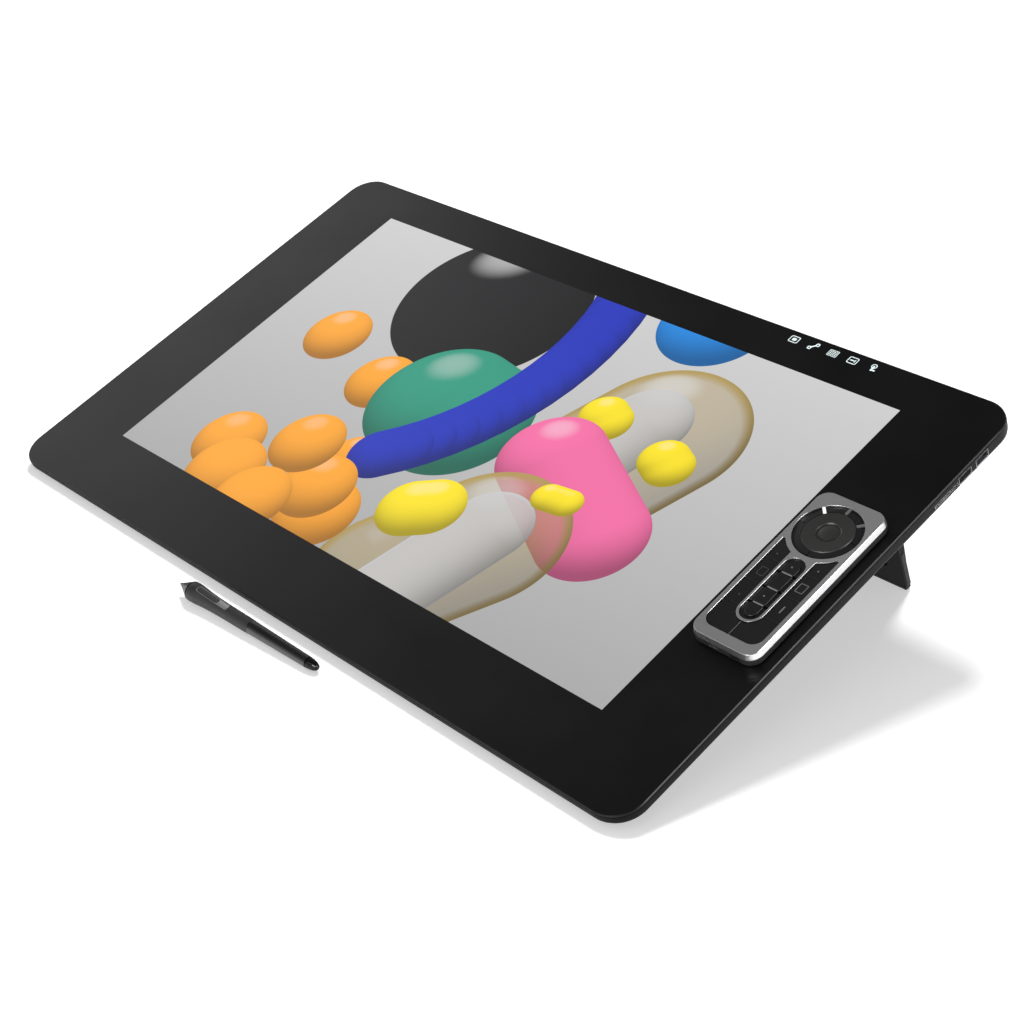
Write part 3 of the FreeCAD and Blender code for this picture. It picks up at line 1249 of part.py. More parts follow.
set_places(Placement())
pen_low = min(item.Shape.optimalBoundingBox().ZMin for item in pen_parts)
pen_place.Base.z = -pen_low
set_places(Placement())
footprint = FreeCAD.BoundBox()
for item in tablet_parts + remote_parts + pen_parts:
    footprint.add(item.Shape.optimalBoundingBox())
origin_shift = Placement(Vector(-footprint.Center.x, -footprint.Center.y, 0), Rotation())
set_places(origin_shift)


# ---------------------------------------------------------------------------
# Check every object, then write the parts
# ---------------------------------------------------------------------------
all_parts = tablet_parts + remote_parts + pen_parts
for item in doc.Objects:
    if "Invalid" in item.State or "Error" in item.State:
        raise RuntimeError(f"{item.Name} is {item.State}")
for item in all_parts:
    if item.Shape.isNull() or not item.Shape.isValid():
        raise RuntimeError(f"{item.Label} has no valid shape")
os.makedirs("parts", exist_ok=True)
for item in all_parts:
    item.Shape.exportStep(f"parts/{item.Label}.step")
print(f"{len(all_parts)} parts, box {footprint}")
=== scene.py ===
"""A pen drawing tablet with its key remote and pen: the looks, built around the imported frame.
Everything is in metres, in the frame's own axes."""
import json
import math

import bpy
from mathutils import Matrix, Quaternion, Vector


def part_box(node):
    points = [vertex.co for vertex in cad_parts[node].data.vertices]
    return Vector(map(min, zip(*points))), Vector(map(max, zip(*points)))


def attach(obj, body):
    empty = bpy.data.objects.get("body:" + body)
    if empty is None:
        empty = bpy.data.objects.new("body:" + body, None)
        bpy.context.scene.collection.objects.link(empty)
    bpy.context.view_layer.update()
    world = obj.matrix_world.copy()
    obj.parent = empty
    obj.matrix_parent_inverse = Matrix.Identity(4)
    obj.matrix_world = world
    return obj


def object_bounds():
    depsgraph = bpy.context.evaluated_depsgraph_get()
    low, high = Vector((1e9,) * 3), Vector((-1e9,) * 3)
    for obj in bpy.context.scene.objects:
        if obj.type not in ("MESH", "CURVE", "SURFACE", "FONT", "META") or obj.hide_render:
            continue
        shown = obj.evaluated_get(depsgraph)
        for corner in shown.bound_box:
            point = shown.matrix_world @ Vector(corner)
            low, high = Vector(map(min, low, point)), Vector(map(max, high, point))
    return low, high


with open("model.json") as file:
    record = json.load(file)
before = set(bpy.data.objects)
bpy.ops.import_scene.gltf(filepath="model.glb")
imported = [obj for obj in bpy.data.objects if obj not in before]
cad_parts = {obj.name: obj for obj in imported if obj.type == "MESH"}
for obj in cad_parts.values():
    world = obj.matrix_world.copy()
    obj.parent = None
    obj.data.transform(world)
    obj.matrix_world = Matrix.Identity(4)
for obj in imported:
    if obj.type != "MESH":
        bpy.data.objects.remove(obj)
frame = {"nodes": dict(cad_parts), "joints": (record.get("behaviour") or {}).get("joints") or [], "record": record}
cad_box = [list(corner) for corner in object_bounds()]

# ---------------------------------------------------------------------------
# Rear cover, cable bay cover and legs: injection-moulded black plastic with a
# fine spark-eroded texture. The cover is one tray, screwed to the frame.
# ---------------------------------------------------------------------------
record = frame["record"]
joints = {joint["name"]: joint for joint in frame["joints"]}


def nodes_of(slot):
    """The frame's nodes that the record gives this material slot."""
    names = [part["node"] for part in record["subparts"] if part["material_slot"] == slot]
    return [frame["nodes"][name] for name in names]


def finish_slot(slot, material):
    for node in nodes_of(slot):
        for place in node.material_slots:
            place.material = material


def feed(tree, socket, value):
    """The socket takes a node's output, or is set to a plain value."""
    if isinstance(value, bpy.types.NodeSocket):
        tree.links.new(value, socket)
    else:
        socket.default_value = value


def ranged(tree, value, from_low, from_high, low, high, smooth=False):
    """A value from from_low to from_high, spread over low to high."""
    node = tree.nodes.new("ShaderNodeMapRange")
    if smooth:
        node.interpolation_type = "SMOOTHSTEP"
    feed(tree, node.inputs["Value"], value)
    feed(tree, node.inputs["From Min"], from_low)
    feed(tree, node.inputs["From Max"], from_high)
    feed(tree, node.inputs["To Min"], low)
    feed(tree, node.inputs["To Max"], high)
    return node.outputs["Result"]


def grain_group():
    """Node group: the fine grain of a moulded or blasted skin, and slow cloudy variation over it."""
    group = bpy.data.node_groups.new("skin_grain", "ShaderNodeTree")
    group.interface.new_socket("Place", in_out="INPUT", socket_type="NodeSocketVector")
    for name in ("Cells", "Clouds"):
        group.interface.new_socket(name, in_out="INPUT", socket_type="NodeSocketFloat")
    for name in ("Grain", "Cloud"):
        group.interface.new_socket(name, in_out="OUTPUT", socket_type="NodeSocketFloat")
    inside, outside = group.nodes.new("NodeGroupInput"), group.nodes.new("NodeGroupOutput")
    for name, size, detail in (("Grain", "Cells", 2), ("Cloud", "Clouds", 4)):
        noise = group.nodes.new("ShaderNodeTexNoise")
        noise.inputs["Detail"].default_value = detail
        group.links.new(inside.outputs["Place"], noise.inputs["Vector"])
        group.links.new(inside.outputs[size], noise.inputs["Scale"])
        group.links.new(noise.outputs["Fac"], outside.inputs[name])
    return group


skin_grain = grain_group()


def add_grain(tree, coordinates, cells, clouds):
    """The skin grain placed in a material, on the piece's own coordinates."""
    grain = tree.nodes.new("ShaderNodeGroup")
    grain.node_tree = skin_grain
    grain.inputs["Cells"].default_value = cells
    grain.inputs["Clouds"].default_value = clouds
    tree.links.new(coordinates.outputs["Object"], grain.inputs["Place"])
    return grain


def new_finish(name, metallic=0.0, coat=0.0, specular=0.5):
    """A Principled material that reads Object coordinates: its tree, shader and coordinate node."""
    material = bpy.data.materials.new(name)
    material.use_nodes = True
    tree = material.node_tree
    shader = tree.nodes["Principled BSDF"]
    shader.inputs["Metallic"].default_value = metallic
    shader.inputs["Coat Weight"].default_value = coat
    shader.inputs["Coat Roughness"].default_value = 0.12
    shader.inputs["Specular IOR Level"].default_value = specular
    return material, tree, shader, tree.nodes.new("ShaderNodeTexCoord")


def spread(tree, value, low, high):
    """A value from 0.25 to 0.75, as noise gives, spread over low to high."""
    return ranged(tree, value, 0.25, 0.75, low, high)


def blend(tree, factor, first, second):
    """A colour that goes from first to second with factor; each is a socket or an RGB tuple."""
    node = tree.nodes.new("ShaderNodeMix")
    node.data_type = "RGBA"
    tree.links.new(factor, node.inputs["Factor"])
    for name, colour in (("A", first), ("B", second)):
        feed(tree, node.inputs[name], (*colour, 1) if isinstance(colour, tuple) else colour)
    return node.outputs["Result"]


def moulded(name, colour, roughness, cells=2200, depth=0.00004, strength=0.35, lift=1.25, **shader_values):
    """A skin of one colour: cloudy tone and gloss, and a fine raised grain."""
    material, tree, shader, coordinates = new_finish(name, **shader_values)
    grain = add_grain(tree, coordinates, cells, clouds=14)
    dark = tuple(part / lift for part in colour)
    light = tuple(min(1, part * lift) for part in colour)
    tone = blend(tree, spread(tree, grain.outputs["Cloud"], 0, 1), dark, light)
    tone = blend(tree, spread(tree, grain.outputs["Grain"], 0, 0.5), tone, light)
    gloss = spread(tree, grain.outputs["Cloud"], roughness - 0.05, roughness + 0.05)
    tree.links.new(tone, shader.inputs["Base Color"])
    tree.links.new(gloss, shader.inputs["Roughness"])
    bump = tree.nodes.new("ShaderNodeBump")
    bump.inputs["Strength"].default_value = strength
    bump.inputs["Distance"].default_value = depth
    tree.links.new(grain.outputs["Grain"], bump.inputs["Height"])
    tree.links.new(bump.outputs["Normal"], shader.inputs["Normal"])
    return material


textured_shell = moulded("textured_black_shell", (0.004, 0.004, 0.0045), 0.5, specular=0.14)
finish_slot("black_shell", textured_shell)

# ---------------------------------------------------------------------------
# Front strips and leg feet: moulded rubber pads, matt, with a slight bloom of
# dust in their pores. They are pressed onto the cover and the legs.
# ---------------------------------------------------------------------------
finish_slot("rubber", moulded("foot_rubber", (0.016, 0.016, 0.016), 0.78, cells=900, strength=0.5))

# ---------------------------------------------------------------------------
# Leg strips: a thin strip of rough dark plastic on the outer side of each leg,
# lighter than the leg: a painted highlight. It leans with the glass, found here first.
# ---------------------------------------------------------------------------
glass_normal = Vector(joints["blower_left_spin"]["axis"])
glass_across = Vector((1, 0, 0))
glass_up = glass_normal.cross(glass_across)
glass_tilt = math.atan2(glass_up.z, glass_up.y)
glass_points = [vertex.co for vertex in frame["nodes"]["cover_glass"].data.vertices]
glass_face = max(point.dot(glass_normal) for point in glass_points)
glass_reach = [point.dot(glass_up) for point in glass_points]
glass_middle = glass_normal * glass_face + glass_up * (min(glass_reach) + max(glass_reach)) / 2


def on_glass(across, up, above=0.0):
    """The frame's point at a place on the glass, measured from the middle of its face."""
    return glass_middle + glass_across * across + glass_up * up + glass_normal * above


def glass_place(tree, coordinates):
    """Object coordinates turned into places on the glass, from the middle of its face."""
    mapping = tree.nodes.new("ShaderNodeMapping")
    mapping.vector_type = "TEXTURE"
    mapping.inputs["Location"].default_value = glass_middle
    mapping.inputs["Rotation"].default_value = (glass_tilt, 0, 0)
    tree.links.new(coordinates.outputs["Object"], mapping.inputs["Vector"])
    return mapping.outputs["Vector"]


def deselect_all():
    if bpy.context.object and bpy.context.object.mode != "OBJECT":
        bpy.ops.object.mode_set(mode="OBJECT")
    bpy.ops.object.select_all(action="DESELECT")


def take_name(name, material, body):
    """The new piece that is active gets its name, finish and body, and keeps its place in its mesh."""
    piece = bpy.context.object
    piece.name = piece.data.name = name
    bpy.ops.object.transform_apply(location=True, rotation=True, scale=True)
    piece.data.materials.clear()
    piece.data.materials.append(material)
    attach(piece, body)
    return piece


# The strip's grey is much lighter than the black leg: a painted highlight along the leg's side.
leg_strip_highlight_finish = moulded("leg_grip_strip", (0.03, 0.03, 0.032), 0.7, cells=1500, strength=0.9, depth=0.0002)
leg_strip_long, leg_strip_wide, leg_strip_thick, leg_strip_corner = 0.03, 0.0036, 0.0003, 0.0009
leg_strip_up, leg_strip_below_glass = 0.1166, 0.1035
for side, name in ((-1, "left"), (1, "right")):
    leg_low, leg_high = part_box(f"leg_{name}")
    side_face = leg_high.x if side > 0 else leg_low.x
    deselect_all()
    bpy.ops.mesh.primitive_plane_add(size=1, location=(0, 0, 0))
    bpy.context.object.scale = (leg_strip_wide, leg_strip_long, 1)
    bpy.ops.object.transform_apply(location=False, rotation=False, scale=True)
    bpy.ops.object.mode_set(mode="EDIT")
    bpy.ops.mesh.bevel(offset=leg_strip_corner, segments=3, affect="VERTICES")
    bpy.ops.mesh.extrude_region_move(TRANSFORM_OT_translate={"value": (0, 0, leg_strip_thick)})
    bpy.ops.mesh.select_all(action="SELECT")
    bpy.ops.mesh.normals_make_consistent(inside=False)
    bpy.ops.object.mode_set(mode="OBJECT")
    strip = bpy.context.object
    lean = Matrix.Rotation(glass_tilt, 4, "X")
    outward = Matrix.Rotation(math.radians(90 * side), 4, "Y")
    along_leg = Matrix.Rotation(math.radians(90), 4, "Z")
    middle = Matrix.Translation((side_face, *on_glass(0, leg_strip_up, -leg_strip_below_glass).yz))
    strip.matrix_world = middle @ lean @ outward @ along_leg
    take_name(f"leg_grip_{name}", leg_strip_highlight_finish, f"leg_{name}")

# ---------------------------------------------------------------------------
# Glass frame: a bent and blasted aluminium rim, anodised black, that carries
# the cover glass. Its outer wall shows as a thin dark grey band.
# ---------------------------------------------------------------------------
anodised_rim = moulded("anodised_rim", (0.009, 0.009, 0.01), 0.36, cells=3000, metallic=0.4, specular=0.18)
finish_slot("dark_metal", anodised_rim)

# ---------------------------------------------------------------------------
# Metal inside and underneath: zinc-plated steel screws, hinge brackets and
# pins, turned brass inserts, and milled aluminium plate and heat sink.
# ---------------------------------------------------------------------------
finish_slot("steel", moulded("zinc_plate", (0.52, 0.53, 0.55), 0.33, cells=700, lift=1.12, metallic=1.0))
finish_slot("brass", moulded("turned_brass", (0.62, 0.43, 0.17), 0.3, cells=900, metallic=1.0))
milled = moulded("milled_aluminium", (0.66, 0.67, 0.69), 0.38, cells=500, lift=1.08, metallic=1.0)
nickel = moulded("nickel_plate", (0.6, 0.6, 0.62), 0.3, cells=800, lift=1.15, metallic=1.0)
finish_slot("aluminium", milled)
finish_slot("socket_metal", nickel)

# ---------------------------------------------------------------------------
# Boards and inner mouldings: glass-fibre boards under green solder mask, black
# housings, a white light guide, the unlit panel and a foil battery pouch.
# ---------------------------------------------------------------------------
solder_mask = moulded("solder_mask", (0.012, 0.09, 0.035), 0.4, cells=260, lift=1.7, coat=0.3)
finish_slot("circuit_board", solder_mask)
finish_slot("black_inner", moulded("black_moulding", (0.014, 0.014, 0.015), 0.5))
finish_slot("white_plastic", moulded("light_guide", (0.8, 0.8, 0.79), 0.4, lift=1.05))
finish_slot("battery_wrap", moulded("foil_pouch", (0.34, 0.36, 0.39), 0.35, cells=400, metallic=0.5))
finish_slot("picture_panel", moulded("unlit_panel", (0.05, 0.05, 0.055), 0.3))

# ---------------------------------------------------------------------------
# Cover glass: one etched sheet over the whole face, with a black border fired
# onto its underside. The etching gives it a fine sparkle and a satin gloss.
# ---------------------------------------------------------------------------
border_black = (0.0025, 0.0025, 0.0028)
etched_glass = moulded("etched_glass_border", border_black, 0.36, cells=2600, strength=0.1, specular=0.3)
finish_slot("glass", etched_glass)

# ---------------------------------------------------------------------------
# Lit picture: what the panel shows, a plain studio composition of balls and
# rounded bars on a pale grey ground. It fills the panel's 16:9 active area.
# ---------------------------------------------------------------------------
picture_wide, picture_high = 0.522, 0.294
picture_up, picture_above = 0.012, 0.00004


def shaded_bar_group():
    """Node group: paints one rounded bar, lit from the upper left, over the colour under it.
    A bar whose two ends are the same place is a ball."""
    group = bpy.data.node_groups.new("shaded_bar", "ShaderNodeTree")
    for kind, names in (
        ("NodeSocketVector", ("Place", "Start", "Along")),
        ("NodeSocketColor", ("Under", "Colour")),
        ("NodeSocketFloat", ("Length", "Radius", "Solid", "Gloss")),
    ):
        for name in names:
            group.interface.new_socket(name, in_out="INPUT", socket_type=kind)
    group.interface.new_socket("Colour", in_out="OUTPUT", socket_type="NodeSocketColor")
    inside, outside = group.nodes.new("NodeGroupInput"), group.nodes.new("NodeGroupOutput")

    def worked(kind, operation, values, result):
        """A maths or vector node fed with values; the named result comes out."""
        node = group.nodes.new(kind)
        node.operation = operation
        for socket, value in zip(node.inputs, values):
            feed(group, socket, value)
        return node.outputs[result]

    def maths(operation, *values):
        return worked("ShaderNodeMath", operation, values, "Value")

    def vector(operation, *values):
        return worked("ShaderNodeVectorMath", operation, values, "Vector")

    def measured(operation, *values):
        return worked("ShaderNodeVectorMath", operation, values, "Value")

    def scaled(direction, factor):
        stretched = vector("SCALE", direction)
        feed(group, stretched.node.inputs["Scale"], factor)
        return stretched

    lit_from, lit_front = (-0.38, 0.62, 0), 0.68
    darkest, brightest = 0.42, 1.06
    spot_from, rim_from, edge_from = 0.9, 0.72, 0.992
    offset = vector("SUBTRACT", inside.outputs["Place"], inside.outputs["Start"])
    run = maths("MAXIMUM", measured("DOT_PRODUCT", offset, inside.outputs["Along"]), 0.0)
    run = maths("MINIMUM", run, inside.outputs["Length"])
    side = vector("SUBTRACT", offset, scaled(inside.outputs["Along"], run))
    side = scaled(side, maths("DIVIDE", 1.0, inside.outputs["Radius"]))
    side = vector("MULTIPLY", side, (1, 1, 0))
    out = measured("LENGTH", side)
    rise = maths("SQRT", maths("MAXIMUM", maths("SUBTRACT", 1.0, maths("MULTIPLY", out, out)), 0.0))
    light = maths("ADD", measured("DOT_PRODUCT", side, lit_from), maths("MULTIPLY", rise, lit_front))
    shade = ranged(group, light, -0.35, 0.95, darkest, brightest, smooth=True)
    body = scaled(inside.outputs["Colour"], shade)
    spot = maths("MULTIPLY", ranged(group, light, spot_from, 1, 0, 1, smooth=True), inside.outputs["Gloss"])
    lit = blend(group, spot, body, (1, 1, 1))
    cover = maths("MAXIMUM", inside.outputs["Solid"], ranged(group, out, rim_from, 1, 0, 1, smooth=True))
    cover = maths("MULTIPLY", cover, ranged(group, out, edge_from, 1, 1, 0, smooth=True))
    group.links.new(blend(group, cover, inside.outputs["Under"], lit), outside.inputs["Colour"])
    return group


shaded_bar = shaded_bar_group()
ground_near, ground_far = (0.43, 0.43, 0.43), (0.66, 0.66, 0.66)
CORAL, MINT, AZURE = (0.93, 0.17, 0.4), (0.03, 0.33, 0.22), (0.02, 0.29, 0.86)
AMBER, LEMON, INK = (1.0, 0.4, 0.03), (1.0, 0.8, 0.02), (0.006, 0.006, 0.008)
COBALT, HONEY, MIST = (0.015, 0.035, 0.5), (0.46, 0.33, 0.1), (0.6, 0.6, 0.61)


def ring_of_bars(colour, middle, reach, first, last, steps, radius):
    """A curved bar: short straight bars along an arc, from one angle in degrees to another."""
    turns = [math.radians(first + (last - first) * step / steps) for step in range(steps + 1)]
    points = [(middle[0] + reach * math.cos(turn), middle[1] + reach * math.sin(turn)) for turn in turns]
    return [(colour, start, end, radius, 1.0, 0.0) for start, end in zip(points, points[1:])]


# Each row: colour, start and end from the middle of the glass, radius, how solid, how glossy.
composition = [
    (AZURE, (0.088, 0.172), (0.088, 0.172), 0.044, 1.0, 0.3),
    (HONEY, (0.128, 0.065), (0.112, 0.02), 0.066, 0.5, 0.5),
    (MIST, (0.112, 0.07), (0.098, 0.02), 0.034, 0.75, 0.0),
    (LEMON, (0.078, 0.062), (0.086, 0.058), 0.019, 1.0, 0.2),
    (LEMON, (0.148, 0.048), (0.156, 0.044), 0.019, 1.0, 0.2),
    (INK, (-0.09, 0.114), (-0.09, 0.114), 0.0825, 1.0, 0.45),
    (AMBER, (-0.108, 0.009), (-0.108, 0.009), 0.029, 1.0, 0.2),
    (AMBER, (-0.064, -0.058), (-0.064, -0.058), 0.02, 1.0, 0.2),
    (MINT, (-0.045, 0.014), (-0.02, 0.01), 0.06, 1.0, 0.25),
    (CORAL, (0.074, 0.012), (0.153, -0.03), 0.041, 1.0, 0.3),
    *ring_of_bars(COBALT, (-0.19, 0.1), 0.205, 22, -46, 14, 0.025),
    (HONEY, (0.086, -0.07), (0.05, -0.13), 0.064, 0.5, 0.5),
    (MIST, (0.082, -0.06), (0.062, -0.14), 0.034, 0.75, 0.0),
    (LEMON, (0.018, -0.074), (0.03, -0.066), 0.027, 1.0, 0.2),
    (LEMON, (0.1, -0.018), (0.116, -0.016), 0.0125, 1.0, 0.2),
    (AMBER, (-0.172, -0.094), (-0.172, -0.094), 0.031, 1.0, 0.15),
    (AMBER, (-0.148, -0.118), (-0.148, -0.118), 0.034, 1.0, 0.0),
    (AMBER, (-0.045, -0.112), (-0.045, -0.112), 0.034, 1.0, 0.0),
    (AMBER, (-0.066, -0.094), (-0.066, -0.094), 0.032, 1.0, 0.15),
    (AMBER, (-0.109, -0.066), (-0.109, -0.066), 0.031, 1.0, 0.15),
    (AMBER, (-0.104, -0.128), (-0.104, -0.128), 0.033, 1.0, 0.0),
    (AMBER, (-0.186, 0.032), (-0.186, 0.032), 0.029, 1.0, 0.2),
]


def lit_picture_finish():
    material, tree, shader, coordinates = new_finish("lit_picture", specular=0.35)
    place = glass_place(tree, coordinates)
    apart = tree.nodes.new("ShaderNodeSeparateXYZ")
    tree.links.new(place, apart.inputs["Vector"])
    low, high = picture_up - picture_high / 2, picture_up + picture_high / 2
    colour = blend(tree, ranged(tree, apart.outputs["Y"], low, high, 0, 1), ground_near, ground_far)
    for shade, start, end, radius, solid, gloss in composition:
        bar = tree.nodes.new("ShaderNodeGroup")
        bar.node_tree = shaded_bar
        run = Vector(end) - Vector(start)
        along = run.normalized() if run.length else Vector((1, 0))
        bar.inputs["Colour"].default_value = (*shade, 1)
        bar.inputs["Start"].default_value = (*start, 0)
        bar.inputs["Along"].default_value = (*along, 0)
        bar.inputs["Length"].default_value = run.length
        bar.inputs["Radius"].default_value = radius
        bar.inputs["Solid"].default_value = solid
        bar.inputs["Gloss"].default_value = gloss
        tree.links.new(place, bar.inputs["Place"])
        tree.links.new(colour, bar.inputs["Under"])
        colour = bar.outputs["Colour"]
    grain = add_grain(tree, coordinates, cells=2600, clouds=30)
    tree.links.new(colour, shader.inputs["Emission Color"])
    tree.links.new(spread(tree, grain.outputs["Grain"], 0.38, 0.46), shader.inputs["Roughness"])
    shader.inputs["Base Color"].default_value = (0.01, 0.01, 0.01, 1)
    shader.inputs["Emission Strength"].default_value = 0.93
    return material


deselect_all()
picture_middle = on_glass(0, picture_up, picture_above)
bpy.ops.mesh.primitive_plane_add(size=1, location=picture_middle, rotation=(glass_tilt, 0, 0))
bpy.context.object.scale = (picture_wide, picture_high, 1)
bpy.ops.object.mode_set(mode="EDIT")
bpy.ops.mesh.subdivide(number_cuts=8)
bpy.ops.object.mode_set(mode="OBJECT")
take_name("lit_picture", lit_picture_finish(), "tablet")

# ---------------------------------------------------------------------------
# Touch marks: five small signs printed on the glass near its far edge and lit
# from below. They are plain shapes: two screens, a tool, keys and a fingertip.
# ---------------------------------------------------------------------------
mark_row, mark_first, mark_step = 0.185, 0.1505, 0.0171
mark_wide, mark_high, mark_line, mark_film, mark_corner = 0.008, 0.0065, 0.0007, 0.00004, 0.0014
mark_finish, mark_tree, mark_shader, mark_place = new_finish("lit_print")
mark_grain = add_grain(mark_tree, mark_place, cells=3000, clouds=300)
mark_tint = blend(mark_tree, mark_grain.outputs["Cloud"], (0.5, 0.6, 0.6), (0.66, 0.74, 0.74))
mark_tree.links.new(mark_tint, mark_shader.inputs["Emission Color"])
mark_tree.links.new(mark_tint, mark_shader.inputs["Base Color"])
mark_shader.inputs["Emission Strength"].default_value = 0.75


def printed(place, wide, high, corner, line=0.0, turn=0.0):
    """A printed patch with rounded corners, placed on the glass; with a line width, just its outline."""
    deselect_all()
    bpy.ops.mesh.primitive_plane_add(size=1, location=(0, 0, 0))
    bpy.context.object.scale = (wide, high, 1)
    bpy.ops.object.transform_apply(location=False, rotation=False, scale=True)
    bpy.ops.object.mode_set(mode="EDIT")
    bpy.ops.mesh.bevel(offset=corner, segments=4, affect="VERTICES")
    if line:
        bpy.ops.mesh.inset(thickness=line)
        bpy.ops.mesh.delete(type="FACE")
    bpy.ops.mesh.select_all(action="SELECT")
    bpy.ops.mesh.extrude_region_move(TRANSFORM_OT_translate={"value": (0, 0, mark_film)})
    bpy.ops.mesh.select_all(action="SELECT")
    bpy.ops.mesh.normals_make_consistent(inside=False)
    bpy.ops.object.mode_set(mode="OBJECT")
    patch = bpy.context.object
    lean = Matrix.Rotation(glass_tilt, 4, "X")
    patch.matrix_world = Matrix.Translation(on_glass(*place)) @ lean @ Matrix.Rotation(turn, 4, "Z")
    return patch


def join_pieces(pieces):
    deselect_all()
    for piece in pieces:
        piece.select_set(True)
    bpy.context.view_layer.objects.active = pieces[0]
    if len(pieces) > 1:
        bpy.ops.object.join()


def frame_mark(across):
    return [
        printed((across, mark_row), mark_wide, mark_high, mark_corner, mark_line),
        printed((across, mark_row), mark_wide * 0.42, mark_high * 0.4, 0.0005),
    ]


def tool_mark(across):
    head_wide, head_out, head_corner, head_line = 0.0032, 0.0022, 0.0012, 0.0009
    shaft_long, shaft_wide, shaft_corner = 0.0048, 0.0013, 0.0004
    heads = [
        printed((across + out, mark_row + out), head_wide, head_wide, head_corner, head_line)
        for out in (-head_out, head_out)
    ]
    return heads + [printed((across, mark_row), shaft_long, shaft_wide, shaft_corner, turn=math.pi / 4)]


def key_mark(across):
    cap_wide, cap_high, cap_corner, cap_step, row_step = 0.0011, 0.001, 0.0002, 0.0016, 0.0015
    caps = [
        printed((across + column * cap_step, mark_row + line * row_step), cap_wide, cap_high, cap_corner)
        for column in (-1.5, -0.5, 0.5, 1.5) for line in (-1, 0, 1)
    ]
    return caps + [printed((across, mark_row), mark_wide, mark_high - 0.0004, 0.0006, mark_line * 0.7)]


def screen_mark(across):
    return [
        printed((across, mark_row), mark_wide, mark_high, mark_corner, mark_line),
        printed((across - 0.0006, mark_row), mark_wide * 0.4, mark_high * 0.16, 0.0003),
        printed((across + 0.0018, mark_row), mark_wide * 0.1, mark_high * 0.4, 0.0003),
    ]


def finger_mark(across):
    ring_wide, finger_wide, finger_long = 0.0044, 0.0015, 0.0052
    return [
        printed((across, mark_row + 0.0016), ring_wide, ring_wide, 0.002, mark_line),
        printed((across, mark_row - 0.0006), finger_wide, finger_long, 0.0006),
        printed((across + 0.0016, mark_row - 0.0022), 0.0028, 0.0012, 0.0004),
    ]


for index, drawn in enumerate((frame_mark, tool_mark, key_mark, screen_mark, finger_mark)):
    join_pieces(drawn(mark_first + index * mark_step))
    take_name(f"touch_mark_{index + 1}", mark_finish, "tablet")

# ---------------------------------------------------------------------------
# Power button, the remote's slide switch and the pen's cone and tail: gloss
# black mouldings, polished in the tool, with faint handling marks.
# ---------------------------------------------------------------------------
gloss_black = (0.004, 0.004, 0.005)
polished_black = moulded("polished_black", gloss_black, 0.2, cells=160, strength=0.03, specular=0.25)
finish_slot("black_gloss", polished_black)

# ---------------------------------------------------------------------------
# Remote's metal frame and the pen's bezel: aluminium, blasted satin grey on the
# face. The cut walls below it are shinier; the right-hand outer wall is also
# painted much lighter, a painted highlight.
# ---------------------------------------------------------------------------
satin_face, face_fade, painted_highlight_from = 0.0094, 0.0002, 0.3155
# The second grey, on the right-hand outer wall only, is a painted highlight.
cut_inside, outer_wall_painted_highlight = (0.4, 0.4, 0.405), (0.78, 0.78, 0.79)


def silver_and_highlight_finish():
    material = moulded("blasted_silver_painted_highlight", (0.36, 0.36, 0.364), 0.3, cells=3200, lift=1.08)
    tree = material.node_tree
    shader = tree.nodes["Principled BSDF"]
    place = tree.nodes.new("ShaderNodeSeparateXYZ")
    tree.links.new(glass_place(tree, tree.nodes["Texture Coordinate"]), place.inputs["Vector"])
    cut = ranged(tree, place.outputs["Z"], satin_face, satin_face + face_fade, 1, 0)
    # Walls farther right than this line take the light grey: a painted highlight.
    outer = tree.nodes.new("ShaderNodeMath")
    outer.operation = "GREATER_THAN"
    outer.inputs[1].default_value = painted_highlight_from
    tree.links.new(place.outputs["X"], outer.inputs[0])
    cut_tone_and_highlight = blend(tree, outer.outputs["Value"], cut_inside, outer_wall_painted_highlight)
    satin = shader.inputs["Base Color"].links[0].from_socket
    tree.links.new(blend(tree, cut, satin, cut_tone_and_highlight), shader.inputs["Base Color"])
    tree.links.new(ranged(tree, cut, 0, 1, 0.5, 1), shader.inputs["Metallic"])
    return material


finish_slot("silver_metal", silver_and_highlight_finish())

# ---------------------------------------------------------------------------
# Remote's shell, keys and touch ring: satin black mouldings; the ring is a
# little warmer and lighter so that a thumb finds it.
# ---------------------------------------------------------------------------
finish_slot("remote_shell", moulded("remote_base_shell", (0.03, 0.03, 0.032), 0.42))
ring_black, key_black = (0.028, 0.027, 0.026), (0.009, 0.009, 0.01)
ring_satin = moulded("ring_satin", ring_black, 0.4, cells=2600, strength=0.2, specular=0.4)
key_satin = moulded("key_satin", key_black, 0.38, cells=2600, strength=0.2, specular=0.35)
finish_slot("ring_plastic", ring_satin)
finish_slot("key_plastic", key_satin)

# ---------------------------------------------------------------------------
# Light bars round the remote's touch ring: frosted light pipes, of which the
# upper left one is lit and the others are dim.
# ---------------------------------------------------------------------------
lit_share = 0.3
pipe_finish = moulded("frosted_light_pipe", (0.11, 0.11, 0.11), 0.35)
pipe_tree = pipe_finish.node_tree
pipe_low, pipe_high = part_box("ring_lights")
pipe_across = pipe_tree.nodes.new("ShaderNodeSeparateXYZ")
pipe_tree.links.new(pipe_tree.nodes["Texture Coordinate"].outputs["Object"], pipe_across.inputs["Vector"])
pipe_lit = pipe_tree.nodes.new("ShaderNodeMath")
pipe_lit.operation = "LESS_THAN"
pipe_lit.inputs[1].default_value = pipe_low.x + (pipe_high.x - pipe_low.x) * lit_share
pipe_tree.links.new(pipe_across.outputs["X"], pipe_lit.inputs[0])
pipe_glow = blend(pipe_tree, pipe_lit.outputs["Value"], (0.03, 0.03, 0.03), (1, 1, 1))
pipe_tree.links.new(pipe_glow, pipe_tree.nodes["Principled BSDF"].inputs["Emission Color"])
pipe_tree.nodes["Principled BSDF"].inputs["Emission Strength"].default_value = 1.0
finish_slot("light_pipe", pipe_finish)

